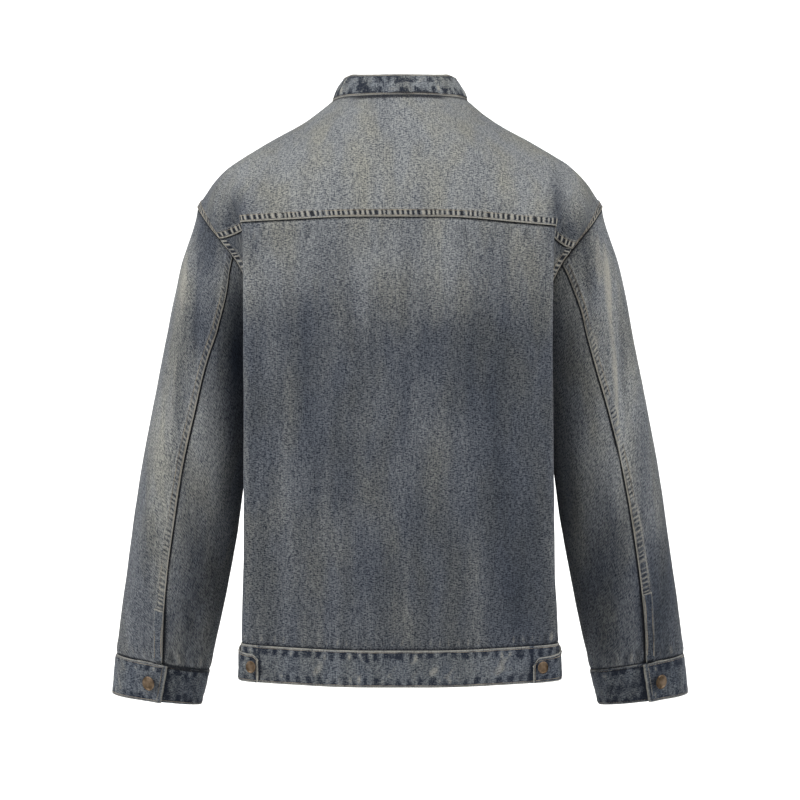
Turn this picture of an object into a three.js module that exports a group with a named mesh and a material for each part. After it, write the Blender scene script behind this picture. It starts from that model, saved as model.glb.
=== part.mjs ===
// A denim jacket with a stand collar, dropped shoulders and a buttoned waistband. It is a hollow shell of
// cut and sewn cloth in the shape that it has when worn, open at the neck, hem and cuffs.
//
// Millimetres. The wearer faces +Y, so the back of the jacket faces -Y; +X is the wearer's right, +Z is up.
// The origin is the middle of the neck opening, at the height where the collar meets the shoulder line.

import * as THREE from "three";

// Cloth and seams.
const clothWall = 1.6; // one layer of washed denim
const bandWall = 3.2; // folded cloth of the collar, cuffs and waistband
const bandRise = 0.9; // how far those bands stand out past the cloth they finish
const seamGap = 0.3; // between two pieces that are sewn together
const fellRise = 1.1; // a felled seam stands this far out
const fellWidth = 9.5; // from its folded edge to its second row of stitching
const fellSlope = 1.6; // the step down to the single cloth
const lapRise = clothWall + seamGap; // a layer that lies on one cloth

// Heights on the body.
const yokeSeamZ = -139; // at the centre back
const yokeDropLeft = 5; // how much lower the seam is at each back fold
const yokeDropRight = 9;
const hemSeamZ = -629; // at the centre back
const hemSeamLift = 8; // how much higher it is at the sides
const waistbandHeight = 42;
const neckBackZ = 5;
const neckSideZ = 3.5;
const neckFrontZ = -56;

// The armhole, a closed curve round the shoulder from its tip to the pit of the arm.
const tipZ = -121;
const pitZ = -265;
const armholeBack = 1.05; // how far it reaches round the body to the back, in section steps
const armholeFront = 0.8; // and to the front
const shoulderSeamTurn = -38; // degrees round the armhole from its tip to the yoke's front edge
const yokeCornerTurnLeft = 63; // and to the yoke's lower corner at the back
const yokeCornerTurnRight = 73;
const sleeveSeamTurnLeft = 77; // and to the top of the sleeve's back seam
const sleeveSeamTurnRight = 86;

// Front closing.
const frontLap = 18; // each front passes the centre by this much
const frontBandHalf = 20; // half the width of the button band
const frontLapStart = 60; // the upper front starts to lift this far from the centre
const buttonDiameter = 17;
const tabButtonDiameter = 14;

const denim = cloth(0x5d6875, 0.92);
const denimDark = cloth(0x4c5868, 0.92);
const brass = new THREE.MeshStandardMaterial({
  color: 0x8a6a4c,
  roughness: 0.42,
  metalness: 0.85,
});

function cloth(color, roughness) {
  return new THREE.MeshStandardMaterial({ color, roughness, metalness: 0 });
}

const { clamp, lerp, smoothstep, degToRad } = THREE.MathUtils;

function table(names, rows) {
  return rows.map((row) =>
    Object.fromEntries(names.map((name, i) => [name, row[i]])),
  );
}

// Half sections of the body at falling heights. Going round from the centre back, a section passes the
// back, the hanging fold at its corner, the groove behind that fold, the arm, the side and the chest.
// The right fold hangs nearer the middle by the last column.
const bodySections = table(
  [
    "z", "backY", "foldX", "foldY", "grooveX", "grooveY", "armX", "armY", "sideX", "breastX", "frontY",
    "foldIn",
  ],
  [
    [8, -60, 55, -43, 64, -31, 70, -17, 73, 58, 48, 0],
    [-20, -84, 90, -52, 99, -38, 105, -20, 108, 88, 60, 0],
    [-50, -102, 137, -58, 149, -42, 157, -21, 161, 138, 75, 0],
    [-82, -114, 180, -62, 193, -47, 203, -25, 208, 178, 91, 0],
    [-105, -120, 188, -82, 198, -63, 215, -38, 226, 190, 100, 0],
    [-125, -123, 182, -99, 188, -78, 214, -51, 238, 196, 106, 2],
    [-145, -125, 178, -107, 180, -80, 211, -58, 243, 198, 110, 3.5],
    [-165, -126, 177, -109, 175, -78, 202, -64, 240, 196, 113, 4],
    [-195, -127, 177, -110, 170, -79, 183, -66, 222, 190, 116, 4],
    [-230, -126, 177, -110, 166, -80, 166, -57, 180, 176, 118, 4],
    [-265, -125, 177, -110, 164, -81, 153, -46, 147, 168, 118, 4],
    [-320, -123, 177, -109, 165, -81, 154, -44, 149, 167, 117, 4],
    [-420, -121, 177, -108, 169, -81, 162, -44, 159, 170, 116, 3.5],
    [-520, -120, 176, -106, 172, -80, 170, -45, 168, 174, 116, 2],
    [-621, -121, 178, -104, 178, -78, 178, -44, 177, 178, 117, 0],
    [-690, -120, 179, -103, 180, -78, 180, -44, 179, 179, 116, 0],
  ],
);
const sectionStops = 8; // steps from the centre back to the centre front
const sideStop = 5;

// Level sections of a sleeve: its outer and inner edge, half its depth and how far forward it hangs.
const sleeveSections = table(
  ["z", "outerX", "innerX", "halfDepth", "middleY"],
  [
    [-110, 231, 150, 34, 0],
    [-129, 240, 150, 50, 0],
    [-175, 252, 149, 72, 0],
    [-217, 262, 149, 80, 0],
    [-287, 276, 158, 80, 2],
    [-358, 290, 169, 75, 4],
    [-428, 303.5, 180, 69, 7],
    [-498, 313.5, 190, 62, 11],
    [-568, 324, 203, 54, 16],
    [-638, 333, 218, 45, 21],
    [-712, 341, 236, 37, 25],
  ],
);
const cuffTopZ = -653; // at the middle of the sleeve
const cuffTopTilt = 9.5; // how much higher it is at the sleeve's outer edge
const cuffEndZ = -697.5;
const cuffEndTilt = 6.5;

// The sleeve's two seams, as turns round it from the outer edge towards the back.
const sleeveSeams = table(
  ["share", "backLeft", "backRight", "under"],
  [
    [0, sleeveSeamTurnLeft, sleeveSeamTurnRight, 180],
    [0.05, 90, 99, 180],
    [0.09, 96, 103, 180],
    [0.14, 95.5, 98, 180],
    [0.2, 91, 91.5, 179],
    [0.28, 87, 86.5, 178],
    [0.37, 85, 81.5, 176],
    [0.5, 82, 77.5, 174],
    [0.7, 80.5, 73.5, 170],
    [0.85, 83.5, 75, 167],
    [0.95, 88.5, 78.5, 166],
    [1, 92, 82.5, 165],
  ],
);

// The largest folds of the body. A row gives a crease's two ends as section step and height, how far it
// reaches to each side and how far it rises; a falling fold has a negative rise. Side 0 is both sides.
const bodyFolds = table(
  ["side", "s", "z", "toS", "toZ", "reach", "rise"],
  [
    [-1, 0.85, -300, 1.1, -600, 22, 3.0],
    [-1, 0.35, -430, 0.3, -615, 16, -2.0],
    [1, 1.5, -170, 1.2, -470, 20, -3.0],
    [1, 0.75, -330, 0.9, -610, 20, 2.5],
    [1, 1.55, -480, 1.6, -618, 12, -2.4],
    [-1, 1.6, -500, 1.55, -618, 12, 2.0],
    [0, 3.6, -330, 3.3, -600, 16, -2.5],
    [0, 5.6, -300, 5.4, -600, 20, 3.5],
    [0, 6.3, -230, 6.1, -520, 22, -3.5],
    [0, 6.0, -560, 6.4, -618, 12, 2.2],
    [-1, 4.0, -72, 2.3, -126, 16, 1.2],
    [1, 4.1, -66, 2.2, -128, 16, 2.2],
    [0, 3.7, -90, 3.3, -140, 14, -1.5],
  ],
);
const foldStep = 58; // millimetres that one section step is worth beside a crease

// The largest folds of a sleeve, with turns in degrees in place of section steps.
const sleeveFolds = table(
  ["side", "turn", "z", "toTurn", "toZ", "reach", "rise"],
  [
    [-1, 45, -150, 35, -330, 9, 2.2],
    [-1, 60, -330, 40, -620, 10, 1.6],
    [1, 40, -150, 45, -380, 9, 2.4],
    [1, 28, -170, 30, -420, 8, 2.0],
    [0, 120, -330, 135, -560, 14, 2.2],
    [0, -60, -200, -75, -420, 14, 2.6],
    [0, -120, -380, -100, -610, 14, 2.4],
    [0, -20, -520, -50, -640, 10, 1.8],
  ],
);
const turnStep = 1.15; // millimetres that one degree round the sleeve is worth

// A smooth value of one column at height z. The rows fall, and the curve doesn't overshoot them.
function columnAt(rows, column, at, key = "z") {
  const last = rows.length - 1;
  const rising = rows[last][key] > rows[0][key];
  let i = 0;
  while (i < last - 1 && (rising ? at > rows[i + 1][key] : at < rows[i + 1][key])) i++;
  const slope = (k) => (rows[k + 1][column] - rows[k][column]) / (rows[k + 1][key] - rows[k][key]);
  const tangent = (k) => {
    if (k === 0) return slope(0);
    if (k === last) return slope(last - 1);
    const before = slope(k - 1);
    const after = slope(k);
    return before * after <= 0 ? 0 : (2 * before * after) / (before + after);
  };
  const span = rows[i + 1][key] - rows[i][key];
  const t = clamp((at - rows[i][key]) / span, 0, 1);
  const a = rows[i][column];
  const b = rows[i + 1][column];
  return (
    a * (1 + 2 * t) * (1 - t) ** 2 +
    b * t * t * (3 - 2 * t) +
    span * (tangent(i) * t * (1 - t) ** 2 - tangent(i + 1) * t * t * (1 - t))
  );
}

// The rise of all creases of one side at a place. Across is the distance that one unit of the first
// coordinate is worth.
function foldRise(folds, side, first, across, a, z) {
  let rise = 0;
  for (const fold of folds) {
    if (fold.side !== 0 && fold.side !== side) continue;
    const to = "to" + first[0].toUpperCase() + first.slice(1);
    const start = new THREE.Vector2(fold[first] * across, fold.z);
    const run = new THREE.Vector2(fold[to] * across, fold.toZ).sub(start);
    const here = new THREE.Vector2(a * across, z).sub(start);
    const along = clamp(here.dot(run) / run.lengthSq(), 0, 1);
    const off = here.addScaledVector(run, -along).length() / fold.reach;
    const fade = smoothstep(along, 0, 0.3) * smoothstep(1 - along, 0, 0.3);
    rise += fold.rise * Math.exp(-off * off) * fade;
  }
  return rise;
}

// One whole level section of the body as a closed curve.
const sectionCurves = new Map();
function sectionCurve(z) {
  if (sectionCurves.has(z)) return sectionCurves.get(z);
  const at = (column) => columnAt(bodySections, column, z);
  const [backY, foldX, foldY, frontY, breastX] = ["backY", "foldX", "foldY", "frontY", "breastX"].map(at);
  const half = (side, foldIn) =>
    [
      [0.55 * foldX, lerp(backY, foldY, 0.16)],
      [foldX - foldIn, foldY],
      [at("grooveX") - foldIn / 2, at("grooveY")],
      [at("armX"), at("armY")],
      [at("sideX"), 0],
      [breastX, 0.66 * frontY],
      [0.55 * breastX, 0.94 * frontY],
    ].map(([x, y]) => new THREE.Vector3(side * x, y, z));
  const right = half(1, at("foldIn"));
  const left = half(-1, 0).reverse();
  const back = new THREE.Vector3(0, backY, z);
  const front = new THREE.Vector3(0, frontY, z);
  const curve = new THREE.CatmullRomCurve3([back, ...right, front, ...left], true);
  sectionCurves.set(z, curve);
  return curve;
}

function bodyBase(side, s, z) {
  return sectionCurve(z).getPoint(((side * s) / (2 * sectionStops) + 1) % 1);
}

// The outward direction of a surface given by a function of two coordinates.
function outward(side, surface, a, b, stepA, stepB) {
  const alongA = surface(a + stepA, b).sub(surface(a - stepA, b));
  const alongB = surface(a, b + stepB).sub(surface(a, b - stepB));
  return alongA.cross(alongB).multiplyScalar(side).normalize();
}

function bodyPoint(side, s, z) {
  const base = (a, b) => bodyBase(side, a, b);
  const rise = foldRise(bodyFolds, side, "s", foldStep, s, z);
  return base(s, z).addScaledVector(outward(side, base, s, z, 0.05, 2), rise);
}

// A place on the body: its point and the cloth's outward direction there.
function bodyPlace(side, s, z) {
  const surface = (a, b) => bodyPoint(side, a, b);
  return { point: surface(s, z), out: outward(side, surface, s, z, 0.05, 2) };
}

// The section step near the centre front where the body's cloth is at x, counted from this side.
function stepAtX(z, x) {
  let low = 6;
  let high = 10;
  for (let i = 0; i < 30; i++) {
    const middle = (low + high) / 2;
    if (bodyBase(1, middle, z).x > x) low = middle;
    else high = middle;
  }
  return low;
}

// Where the armhole lies on the body, turning from its tip; positive turns go to the back.
function armholeAt(turn) {
  const angle = degToRad(turn);
  const reach = turn > 0 ? armholeBack : armholeFront;
  return {
    s: sideStop - reach * Math.sin(angle),
    z: lerp(pitZ, tipZ, (1 + Math.cos(angle)) / 2),
  };
}

const yokeCornerTurn = (side) => (side < 0 ? yokeCornerTurnLeft : yokeCornerTurnRight);
const sleeveSeamTurn = (side) => (side < 0 ? sleeveSeamTurnLeft : sleeveSeamTurnRight);
const yokeCorner = (side) => armholeAt(yokeCornerTurn(side));
const shoulderSeam = armholeAt(shoulderSeamTurn);

// The body's seam lines, as heights for a section step.
function yokeSeamAt(side, s) {
  const drop = side < 0 ? yokeDropLeft : yokeDropRight;
  const atFold = yokeSeamZ - drop * smoothstep(s, 0.4, 2);
  const corner = yokeCorner(side);
  return lerp(atFold, corner.z, smoothstep(s, 2, corner.s) ** 1.3);
}

function hemSeamAt(s) {
  return hemSeamZ + hemSeamLift * smoothstep(Math.min(s, sectionStops * 2 - s), 0.3, 2.6);
}

function necklineAt(s) {
  const wrapped = Math.min(s, 2 * sectionStops - s);
  if (wrapped <= sideStop) return lerp(neckBackZ, neckSideZ, (wrapped / sideStop) ** 6);
  const sideWidth = bodyBase(1, sideStop, neckSideZ).x;
  let low = neckFrontZ;
  let high = neckSideZ;
  for (let i = 0; i < 30; i++) {
    const z = (low + high) / 2;
    const width = sideWidth * Math.sqrt(1 - ((z - neckSideZ) / (neckFrontZ - neckSideZ)) ** 2);
    if (bodyBase(1, wrapped, z).x > width) low = z;
    else high = z;
  }
  return low;
}

// Shares of a path that lie at the given distances from its start, and then evenly to its end.
function sharesAlong(path, distances, evenSteps) {
  const samples = 40;
  const lengths = [0];
  for (let i = 1; i <= samples; i++) {
    const step = path(i / samples).distanceTo(path((i - 1) / samples));
    lengths.push(lengths[i - 1] + step);
  }
  const whole = lengths[samples];
  const first = distances.at(-1) ?? 0;
  const wanted = [...distances];
  for (let i = 1; i <= evenSteps; i++) wanted.push(first + ((whole - first) * i) / evenSteps);
  return wanted.map((distance) => {
    const i = clamp(lengths.findIndex((length) => length >= distance - 1e-6), 1, samples);
    const part = (distance - lengths[i - 1]) / (lengths[i] - lengths[i - 1]);
    return clamp((i - 1 + part) / samples, 0, 1);
  });
}

const fellStops = [0, fellWidth, fellWidth + fellSlope];

// A wall of cloth through a grid of places. Each place has a point, its outward direction, how far the
// outside is raised there and, where a seam needs it, its own direction for the wall's thickness.
function clothWallMesh(name, places, material, wall = clothWall) {
  const rows = places.length;
  const columns = places[0].length;
  const insetStep = (here, next) => next.clone().sub(here).setLength(seamGap / 2);
  const vertices = [];
  const inner = [];
  places.forEach((row, j) =>
    row.forEach((place, i) => {
      const shift = new THREE.Vector3();
      if (i === 0) shift.add(insetStep(place.point, row[1].point));
      if (i === columns - 1) shift.add(insetStep(place.point, row[i - 1].point));
      if (j === 0) shift.add(insetStep(place.point, places[1][i].point));
      if (j === rows - 1) shift.add(insetStep(place.point, places[j - 1][i].point));
      const point = place.point.clone().add(shift);
      vertices.push(point.clone().addScaledVector(place.out, place.rise ?? 0));
      const inward = place.inward ?? place.out.clone().negate();
      inner.push(point.clone().addScaledVector(inward, wall));
    }),
  );
  const outerCount = vertices.length;
  vertices.push(...inner);
  const faces = [];
  const apart = (a, b) => vertices[a].distanceTo(vertices[b]);
  const quad = (a, b, c, d) => {
    if (apart(a, c) <= apart(b, d)) faces.push(a, b, c, a, c, d);
    else faces.push(a, b, d, b, c, d);
  };
  const at = (j, i) => j * columns + i;
  for (let j = 0; j < rows - 1; j++) {
    for (let i = 0; i < columns - 1; i++) {
      const [a, b, c, d] = [at(j, i), at(j, i + 1), at(j + 1, i + 1), at(j + 1, i)];
      quad(a, b, c, d);
      quad(...[d, c, b, a].map((v) => v + outerCount));
    }
  }
  const rim = [];
  for (let i = 0; i < columns - 1; i++) rim.push(at(0, i));
  for (let j = 0; j < rows - 1; j++) rim.push(at(j, columns - 1));
  for (let i = columns - 1; i > 0; i--) rim.push(at(rows - 1, i));
  for (let j = rows - 1; j > 0; j--) rim.push(at(j, 0));
  rim.forEach((a, i) => {
    const b = rim[(i + 1) % rim.length];
    quad(b, a, a + outerCount, b + outerCount);
  });
  const geometry = new THREE.BufferGeometry().setFromPoints(vertices);
  geometry.setIndex(faces);
  if (volumeOf(vertices, faces) < 0) geometry.setIndex(faces.reverse());
  const mesh = new THREE.Mesh(geometry, material);
  mesh.name = name;
  return mesh;
}

function volumeOf(vertices, faces) {
  let sum = 0;
  for (let i = 0; i < faces.length; i += 3) {
    const [a, b, c] = faces.slice(i, i + 3).map((v) => vertices[v]);
    sum += a.dot(b.clone().cross(c));
  }
  return sum / 6;
}

// Columns across the back, shared by the yoke and the back so that their seam meets vertex to vertex.
const backStops = [0, 0.3, 0.6, 0.9, 1.2, 1.42, 1.6, 1.74, 1.86, 1.95, 2.04, 2.16, 2.4];
const freeStop = backStops.at(-1); // past this step the columns follow the back's side edge
const armholeUnderTurns = [97, 114, 131, 148, 164, 180];
const armholeFrontTurns = [-38, -55, -72, -90, -108, -126, -144, -162, -180];
const sideHeights = [-310, -350, -400, -450, -500, -550, -590]; // rows of the side seam below the pit

// Turns of the yoke's columns along the armhole, after its corner.
function shoulderTurns(side) {
  const steps = 11;
  const turns = [];
  for (let k = 1; k <= steps; k++) turns.push(lerp(yokeCornerTurn(side), shoulderSeamTurn, k / steps));
  return turns;
}

function mirrorColumns(stops) {
  const left = stops.slice(1).reverse();
  return [...left.map((s) => ({ side: -1, s })), ...stops.map((s) => ({ side: 1, s }))];
}

function yokeColumn(side, s, low) {
  const high = necklineAt(s);
  const path = (share) => bodyBase(side, s, lerp(low, high, share));
  return sharesAlong(path, fellStops, 7).map((share) => lerp(low, high, share));
}

// The back yoke runs over the shoulders to a seam in front of them.
function makeYoke() {
  const columnsOf = (side) => [
    ...[...backStops, ...sideStops(side, yokeCorner(side)).reverse()].map((s) => ({
      side,
      s,
      low: yokeSeamAt(side, s),
    })),
    ...shoulderTurns(side).map((turn) => ({ side, s: armholeAt(turn).s, low: armholeAt(turn).z })),
  ];
  const columns = [...columnsOf(-1).slice(1).reverse(), ...columnsOf(1)];
  const columnPlaces = columns.map(({ side, s, low }) => {
    return yokeColumn(side, s, low).map((z, j) => ({
      ...bodyPlace(side, s, z),
      rise: j < 2 ? fellRise : 0,
    }));
  });
  const places = columnPlaces[0].map((_, j) => columnPlaces.map((column) => column[j]));
  return clothWallMesh("yoke", places, denim);
}

// Rows of the back and fronts, from the hem up. Each has its place on the panel's side edge and its rank:
// how far up the panel's middle it ends. The rows fan out from the armhole.
function sideRows(turns, pitRank, endRank) {
  const hemZ = hemSeamAt(sideStop);
  const seam = [hemZ, ...sideHeights.toReversed()];
  const below = seam.map((z) => ({ s: sideStop, z, rank: (pitRank * (z - hemZ)) / (pitZ - hemZ) }));
  const last = turns.length - 1;
  const armhole = turns.map((turn, i) => ({ ...armholeAt(turn), rank: lerp(endRank, pitRank, i / last) }));
  return [...below, ...armhole.reverse()];
}

// The height of a row at a section step, between the panel's lower and upper seams.
function rowHeight(row, s, middle, upperSeam) {
  const place = (row.z - hemSeamAt(row.s)) / (upperSeam(row.s) - hemSeamAt(row.s));
  const share = (row.s - s) / (row.s - middle);
  const up = lerp(place, row.rank, 1 - (1 - share) ** 2);
  return lerp(hemSeamAt(s), upperSeam(s), up);
}

// The felled edge of the armhole lies flat under the arm.
function armholeRise(edge) {
  const under = clamp((edge.z - pitZ) / (tipZ - pitZ), 0, 1);
  return fellRise * smoothstep(under, 0.12, 0.4);
}

// Section steps of the back's columns from its side edge inwards, with its felled band first.
function sideStops(side, edge) {
  const path = (share) => bodyBase(side, lerp(edge.s, freeStop, share), edge.z);
  const stops = sharesAlong(path, fellStops, 3).map((share) => lerp(edge.s, freeStop, share));
  return stops.slice(0, -1);
}

const backPitRank = 0.62;

function makeBack() {
  const halves = [-1, 1].map((side) => {
    const turns = [yokeCornerTurn(side), sleeveSeamTurn(side), ...armholeUnderTurns];
    const seam = (s) => yokeSeamAt(side, Math.min(s, yokeCorner(side).s)) - seamGap / 2;
    return sideRows(turns, backPitRank, 1).map((edge) => {
      const place = (s) => bodyPlace(side, s, rowHeight(edge, s, 0, seam));
      const inner = backStops.map((s) => ({ ...place(s), rise: 0 }));
      const outer = sideStops(side, edge).map((s, k) => {
        return { ...place(s), rise: k < 2 ? armholeRise(edge) : 0 };
      });
      return [...inner, ...outer.reverse()];
    });
  });
  const places = halves[1].map((right, j) => [...halves[0][j].slice(1).reverse(), ...right]);
  return clothWallMesh("back", places, denim);
}

// How far the upper front is lifted to lie on the lower one, by its distance from the centre.
function frontLift(side, x) {
  return side < 0 ? lapRise * (1 - smoothstep(x, frontLap + 6, frontLapStart)) : 0;
}

// The front's places, with its last columns at the edges and stitch lines of the button band.
const bandColumns = [frontBandHalf, frontBandHalf / 3, -frontBandHalf / 3, -frontLap];

const frontPitRank = 0.5;
const shoulderRank = 0.76;

function frontPlaces(side) {
  const rows = sideRows(armholeFrontTurns, frontPitRank, shoulderRank);
  const seam = yokeColumn(side, shoulderSeam.s, shoulderSeam.z).slice(1);
  seam.forEach((z, i) => {
    rows.push({ s: shoulderSeam.s, z, rank: lerp(shoulderRank, 1, (i + 1) / seam.length) });
  });
  const upperSeam = (s) => necklineAt(Math.max(s, shoulderSeam.s));
  return rows.map((edge) => {
    const heightAt = (s) => rowHeight(edge, s, sectionStops, upperSeam);
    const bandZ = heightAt(sectionStops);
    const free = stepAtX(bandZ, frontBandHalf);
    const path = (share) => bodyBase(side, lerp(edge.s, free, share), heightAt(lerp(edge.s, free, share)));
    const stops = sharesAlong(path, fellStops, 9).map((share) => lerp(edge.s, free, share));
    stops.pop();
    stops.push(...bandColumns.map((x) => stepAtX(bandZ, x)));
    const atArmhole = edge.z > pitZ && edge.z <= shoulderSeam.z;
    return stops.map((s, k) => {
      const place = bodyPlace(side, s, heightAt(Math.min(s, 2 * sectionStops - s)));
      place.point.addScaledVector(place.out, frontLift(side, place.point.x * side));
      return { ...place, rise: k < 2 && atArmhole ? armholeRise(edge) : 0 };
    });
  });
}

// The button band lies on the left front, which laps over the right one.
const bandTopCut = 0.22; // of its last row, which keeps it clear of the collar

function makeFrontBand(places) {
  const band = places.map((row) =>
    row.slice(-bandColumns.length).map(({ point, out }) => {
      return { point: point.clone().addScaledVector(out, lapRise), out };
    }),
  );
  const [below, top] = band.slice(-2);
  top.forEach((place, k) => place.point.lerp(below[k].point, bandTopCut));
  return clothWallMesh("front_button_band", band, denimDark);
}

function makeFronts() {
  const left = frontPlaces(-1);
  return [
    clothWallMesh("front_left", left, denim),
    clothWallMesh("front_right", frontPlaces(1), denim),
    makeFrontBand(left),
  ];
}

// The stand collar leans inwards, most at its sides. Its left end laps over its right one.
function makeCollar() {
  const height = 24;
  const leanBack = 9;
  const leanSide = 15;
  const leanFront = 7;
  const sideRise = 3; // it stands taller beside the neck
  const stand = 0.9; // its lower edge clears the neckline
  const lean = table(["share", "lean"], [[0, leanBack], [0.55, leanSide], [1, leanFront]]);
  const levels = [0, 0.12, 0.45, 0.8, 1];
  const lapStep = stepAtX(neckFrontZ, -frontLap) - sectionStops;
  const stops = [0, 0.5, 1, 1.5, 2, 2.5, 3, 3.5, 4, 4.5, 5, 5.4, 5.8, 6.2, 6.5, 6.8, 7.1, 7.4, 7.7, 8];
  stops.push(sectionStops + lapStep);
  const columns = mirrorColumns(stops);
  const places = levels.map((level) =>
    columns.map(({ side, s }) => {
      const wrapped = Math.min(s, 2 * sectionStops - s);
      const base = bodyBase(side, s, necklineAt(s));
      const flat = new THREE.Vector3(base.x, base.y * 1.1, 0).normalize();
      const lap = side < 0 ? (bandWall + 0.4) * smoothstep(s, 6.7, sectionStops - 1.2 * lapStep) : 0;
      const inward = columnAt(lean, "lean", wrapped / sectionStops, "share") * level ** 1.6;
      const out = flat.clone().setZ((0.8 * inward) / height).normalize();
      const rise = sideRise * smoothstep(wrapped, 0.8, 3.2) * (1 - smoothstep(wrapped, 4.6, 7.5));
      const point = base.clone().addScaledVector(flat, bandRise + lap - inward);
      point.z += stand + (height + rise) * level;
      return { point, out };
    }),
  );
  return clothWallMesh("collar", places, denimDark, bandWall);
}

// The waistband: a back length, and two front lengths whose ends pass over it as buttoned tabs.
const waistbandShares = [0, 0.5, 1];
const tabLift = bandWall + seamGap + 0.1;
const tabs = table(
  ["side", "endStep", "liftStep", "endDrop", "buttonStep"],
  [
    [-1, 1.68, 3.3, 8, 1.75],
    [1, 1.56, 3.3, 11, 1.66],
  ],
);
const backBandEnd = 2.7;

function waistbandPlace(side, s, share, lift, drop = 0) {
  const z = hemSeamAt(s) - 0.2 - drop - (waistbandHeight - drop) * share;
  const place = bodyPlace(side, s, z);
  place.point.addScaledVector(place.out, bandRise + lift);
  return place;
}

function makeBackWaistband() {
  const stops = [...backStops, backBandEnd];
  const columns = mirrorColumns(stops);
  const places = waistbandShares.map((share) =>
    columns.map(({ side, s }) => waistbandPlace(side, s, share, 0)),
  );
  return clothWallMesh("waistband_back", places, denimDark, bandWall);
}

function tabLiftAt(tab, s) {
  return tabLift * (1 - smoothstep(s, backBandEnd + 0.12, tab.liftStep));
}

function makeFrontWaistband(tab) {
  const { side } = tab;
  const stops = [tab.endStep, ...backStops.filter((s) => s > tab.endStep)];
  stops.push(backBandEnd, 2.95, 3.2, 3.6, 4, 4.5, 5, 5.5, 5.9, 6.3, 6.7, 7.1, 7.5);
  const end = stepAtX(hemSeamAt(sectionStops), -frontLap);
  stops.push(lerp(7.5, end, 0.5), end);
  const overlap = tabLift + 0.3;
  const places = waistbandShares.map((share) =>
    stops.map((s) => {
      const lapped = side < 0 ? overlap * smoothstep(s, 6.9, 7.72) : 0;
      const free = smoothstep(s, tab.endStep, 2.9); // the tab's upper edge is cut away towards its end
      const corner = s < tab.endStep + 0.05 ? 2 : 0;
      const drop = (tab.endDrop + corner) * (1 - free) + 2.5 * (1 - smoothstep(s, 2.7, 3.4));
      return waistbandPlace(side, s, share, tabLiftAt(tab, s) + lapped, drop);
    }),
  );
  const name = side < 0 ? "waistband_left" : "waistband_right";
  return clothWallMesh(name, places, denimDark, bandWall);
}

// A sleeve's level section at height z, at a turn round it.
function sleeveBase(side, turn, z) {
  const at = (column) => columnAt(sleeveSections, column, z);
  const angle = degToRad(turn);
  const half = (at("outerX") - at("innerX")) / 2;
  const middle = (at("outerX") + at("innerX")) / 2;
  const x = middle + half * Math.cos(angle);
  const y = at("middleY") - at("halfDepth") * Math.sin(angle);
  return new THREE.Vector3(side * x, y, z);
}

// A sleeve's surface: a share of 0 is the armhole and 1 the cuff seam.
const capShare = 0.13; // over this share the armhole's outline becomes the sleeve's own
function sleevePoint(side, turn, share) {
  const angle = degToRad(turn);
  const arm = armholeAt(turn);
  const start = bodyPoint(side, arm.s, arm.z);
  const endZ = cuffTopZ + cuffTopTilt * Math.cos(angle);
  const z = lerp(start.z, endZ, share);
  const own = (a, b) => sleeveBase(side, a, b);
  const rise = foldRise(sleeveFolds, side, "turn", turnStep, turn, z);
  const free = own(turn, z).addScaledVector(outward(side, own, turn, z, -1, 1), rise);
  return start.lerp(free, 1 - clamp(1 - share / capShare, 0, 1) ** 2).setZ(z);
}

function sleevePlace(side, turn, share) {
  const surface = (a, b) => sleevePoint(side, a, b);
  const at = clamp(share, 0.004, 0.996);
  return { point: surface(turn, share), out: outward(side, surface, turn, at, 1, 0.004) };
}

const sleeveShares = [0, 0.035, 0.08, 0.14, 0.21, 0.29, 0.37, 0.45, 0.53, 0.61, 0.69, 0.77, 0.85, 0.93, 1];
const armholeMiddle = new THREE.Vector3(190, 0, (tipZ + pitZ) / 2);
const armholeInset = 1.1; // the sleeve starts this far inside the armhole's edge

// One panel of a sleeve between two of its seams, given as the turns of its columns at the armhole.
function sleevePanel(side, name, turns, startSeam, endSeam, felled) {
  const places = sleeveShares.map((share) => {
    const seam = ({ column, add }) => columnAt(sleeveSeams, column, share, "share") + add;
    const from = seam(startSeam);
    const to = seam(endSeam);
    const turnAt = (turn) => lerp(from, to, (turn - turns[0]) / (turns.at(-1) - turns[0]));
    const stops = turns.map((turn) => ({ turn: turnAt(turn), rise: 0 }));
    if (felled) {
      const path = (part) => sleevePoint(side, lerp(from, turnAt(turns[1]), part), share);
      const [, edge, foot] = sharesAlong(path, fellStops, 1).map((part) => {
        return lerp(from, turnAt(turns[1]), part);
      });
      const rise = share > 0 ? fellRise : 0;
      stops[0].rise = rise;
      stops.splice(1, 0, { turn: edge, rise }, { turn: foot, rise: 0 });
    }
    return stops.map(({ turn, rise }) => {
      const place = { ...sleevePlace(side, turn, share), rise };
      if (share > 0) return place;
      const middle = armholeMiddle.clone().multiply(new THREE.Vector3(side, 1, 1));
      place.inward = middle.sub(place.point).normalize();
      place.point.addScaledVector(place.inward, armholeInset);
      place.point.z -= seamGap;
      return place;
    });
  });
  return clothWallMesh(name, places, denim);
}

function makeSleeve(side, word) {
  const seamTurn = sleeveSeamTurn(side);
  const outerTurns = [seamTurn, yokeCornerTurn(side), ...shoulderTurns(side), ...armholeFrontTurns.slice(1)];
  const underTurns = [seamTurn, ...armholeUnderTurns];
  const back = { column: side < 0 ? "backLeft" : "backRight", add: 0 };
  const under = { column: "under", add: 0 };
  const underFromFront = { column: "under", add: -360 };
  return [
    sleevePanel(side, `sleeve_outer_${word}`, outerTurns, back, underFromFront, true),
    sleevePanel(side, `sleeve_under_${word}`, underTurns, back, under, false),
  ];
}

// The cuff is one folded band. Its outer end passes over its inner end at the back of the sleeve.
const cuffUnderTurn = 60; // the hidden end
const cuffLaps = {
  left: { edge: 98, button: 82 },
  right: { edge: 86, button: 70.5 },
};

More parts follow.
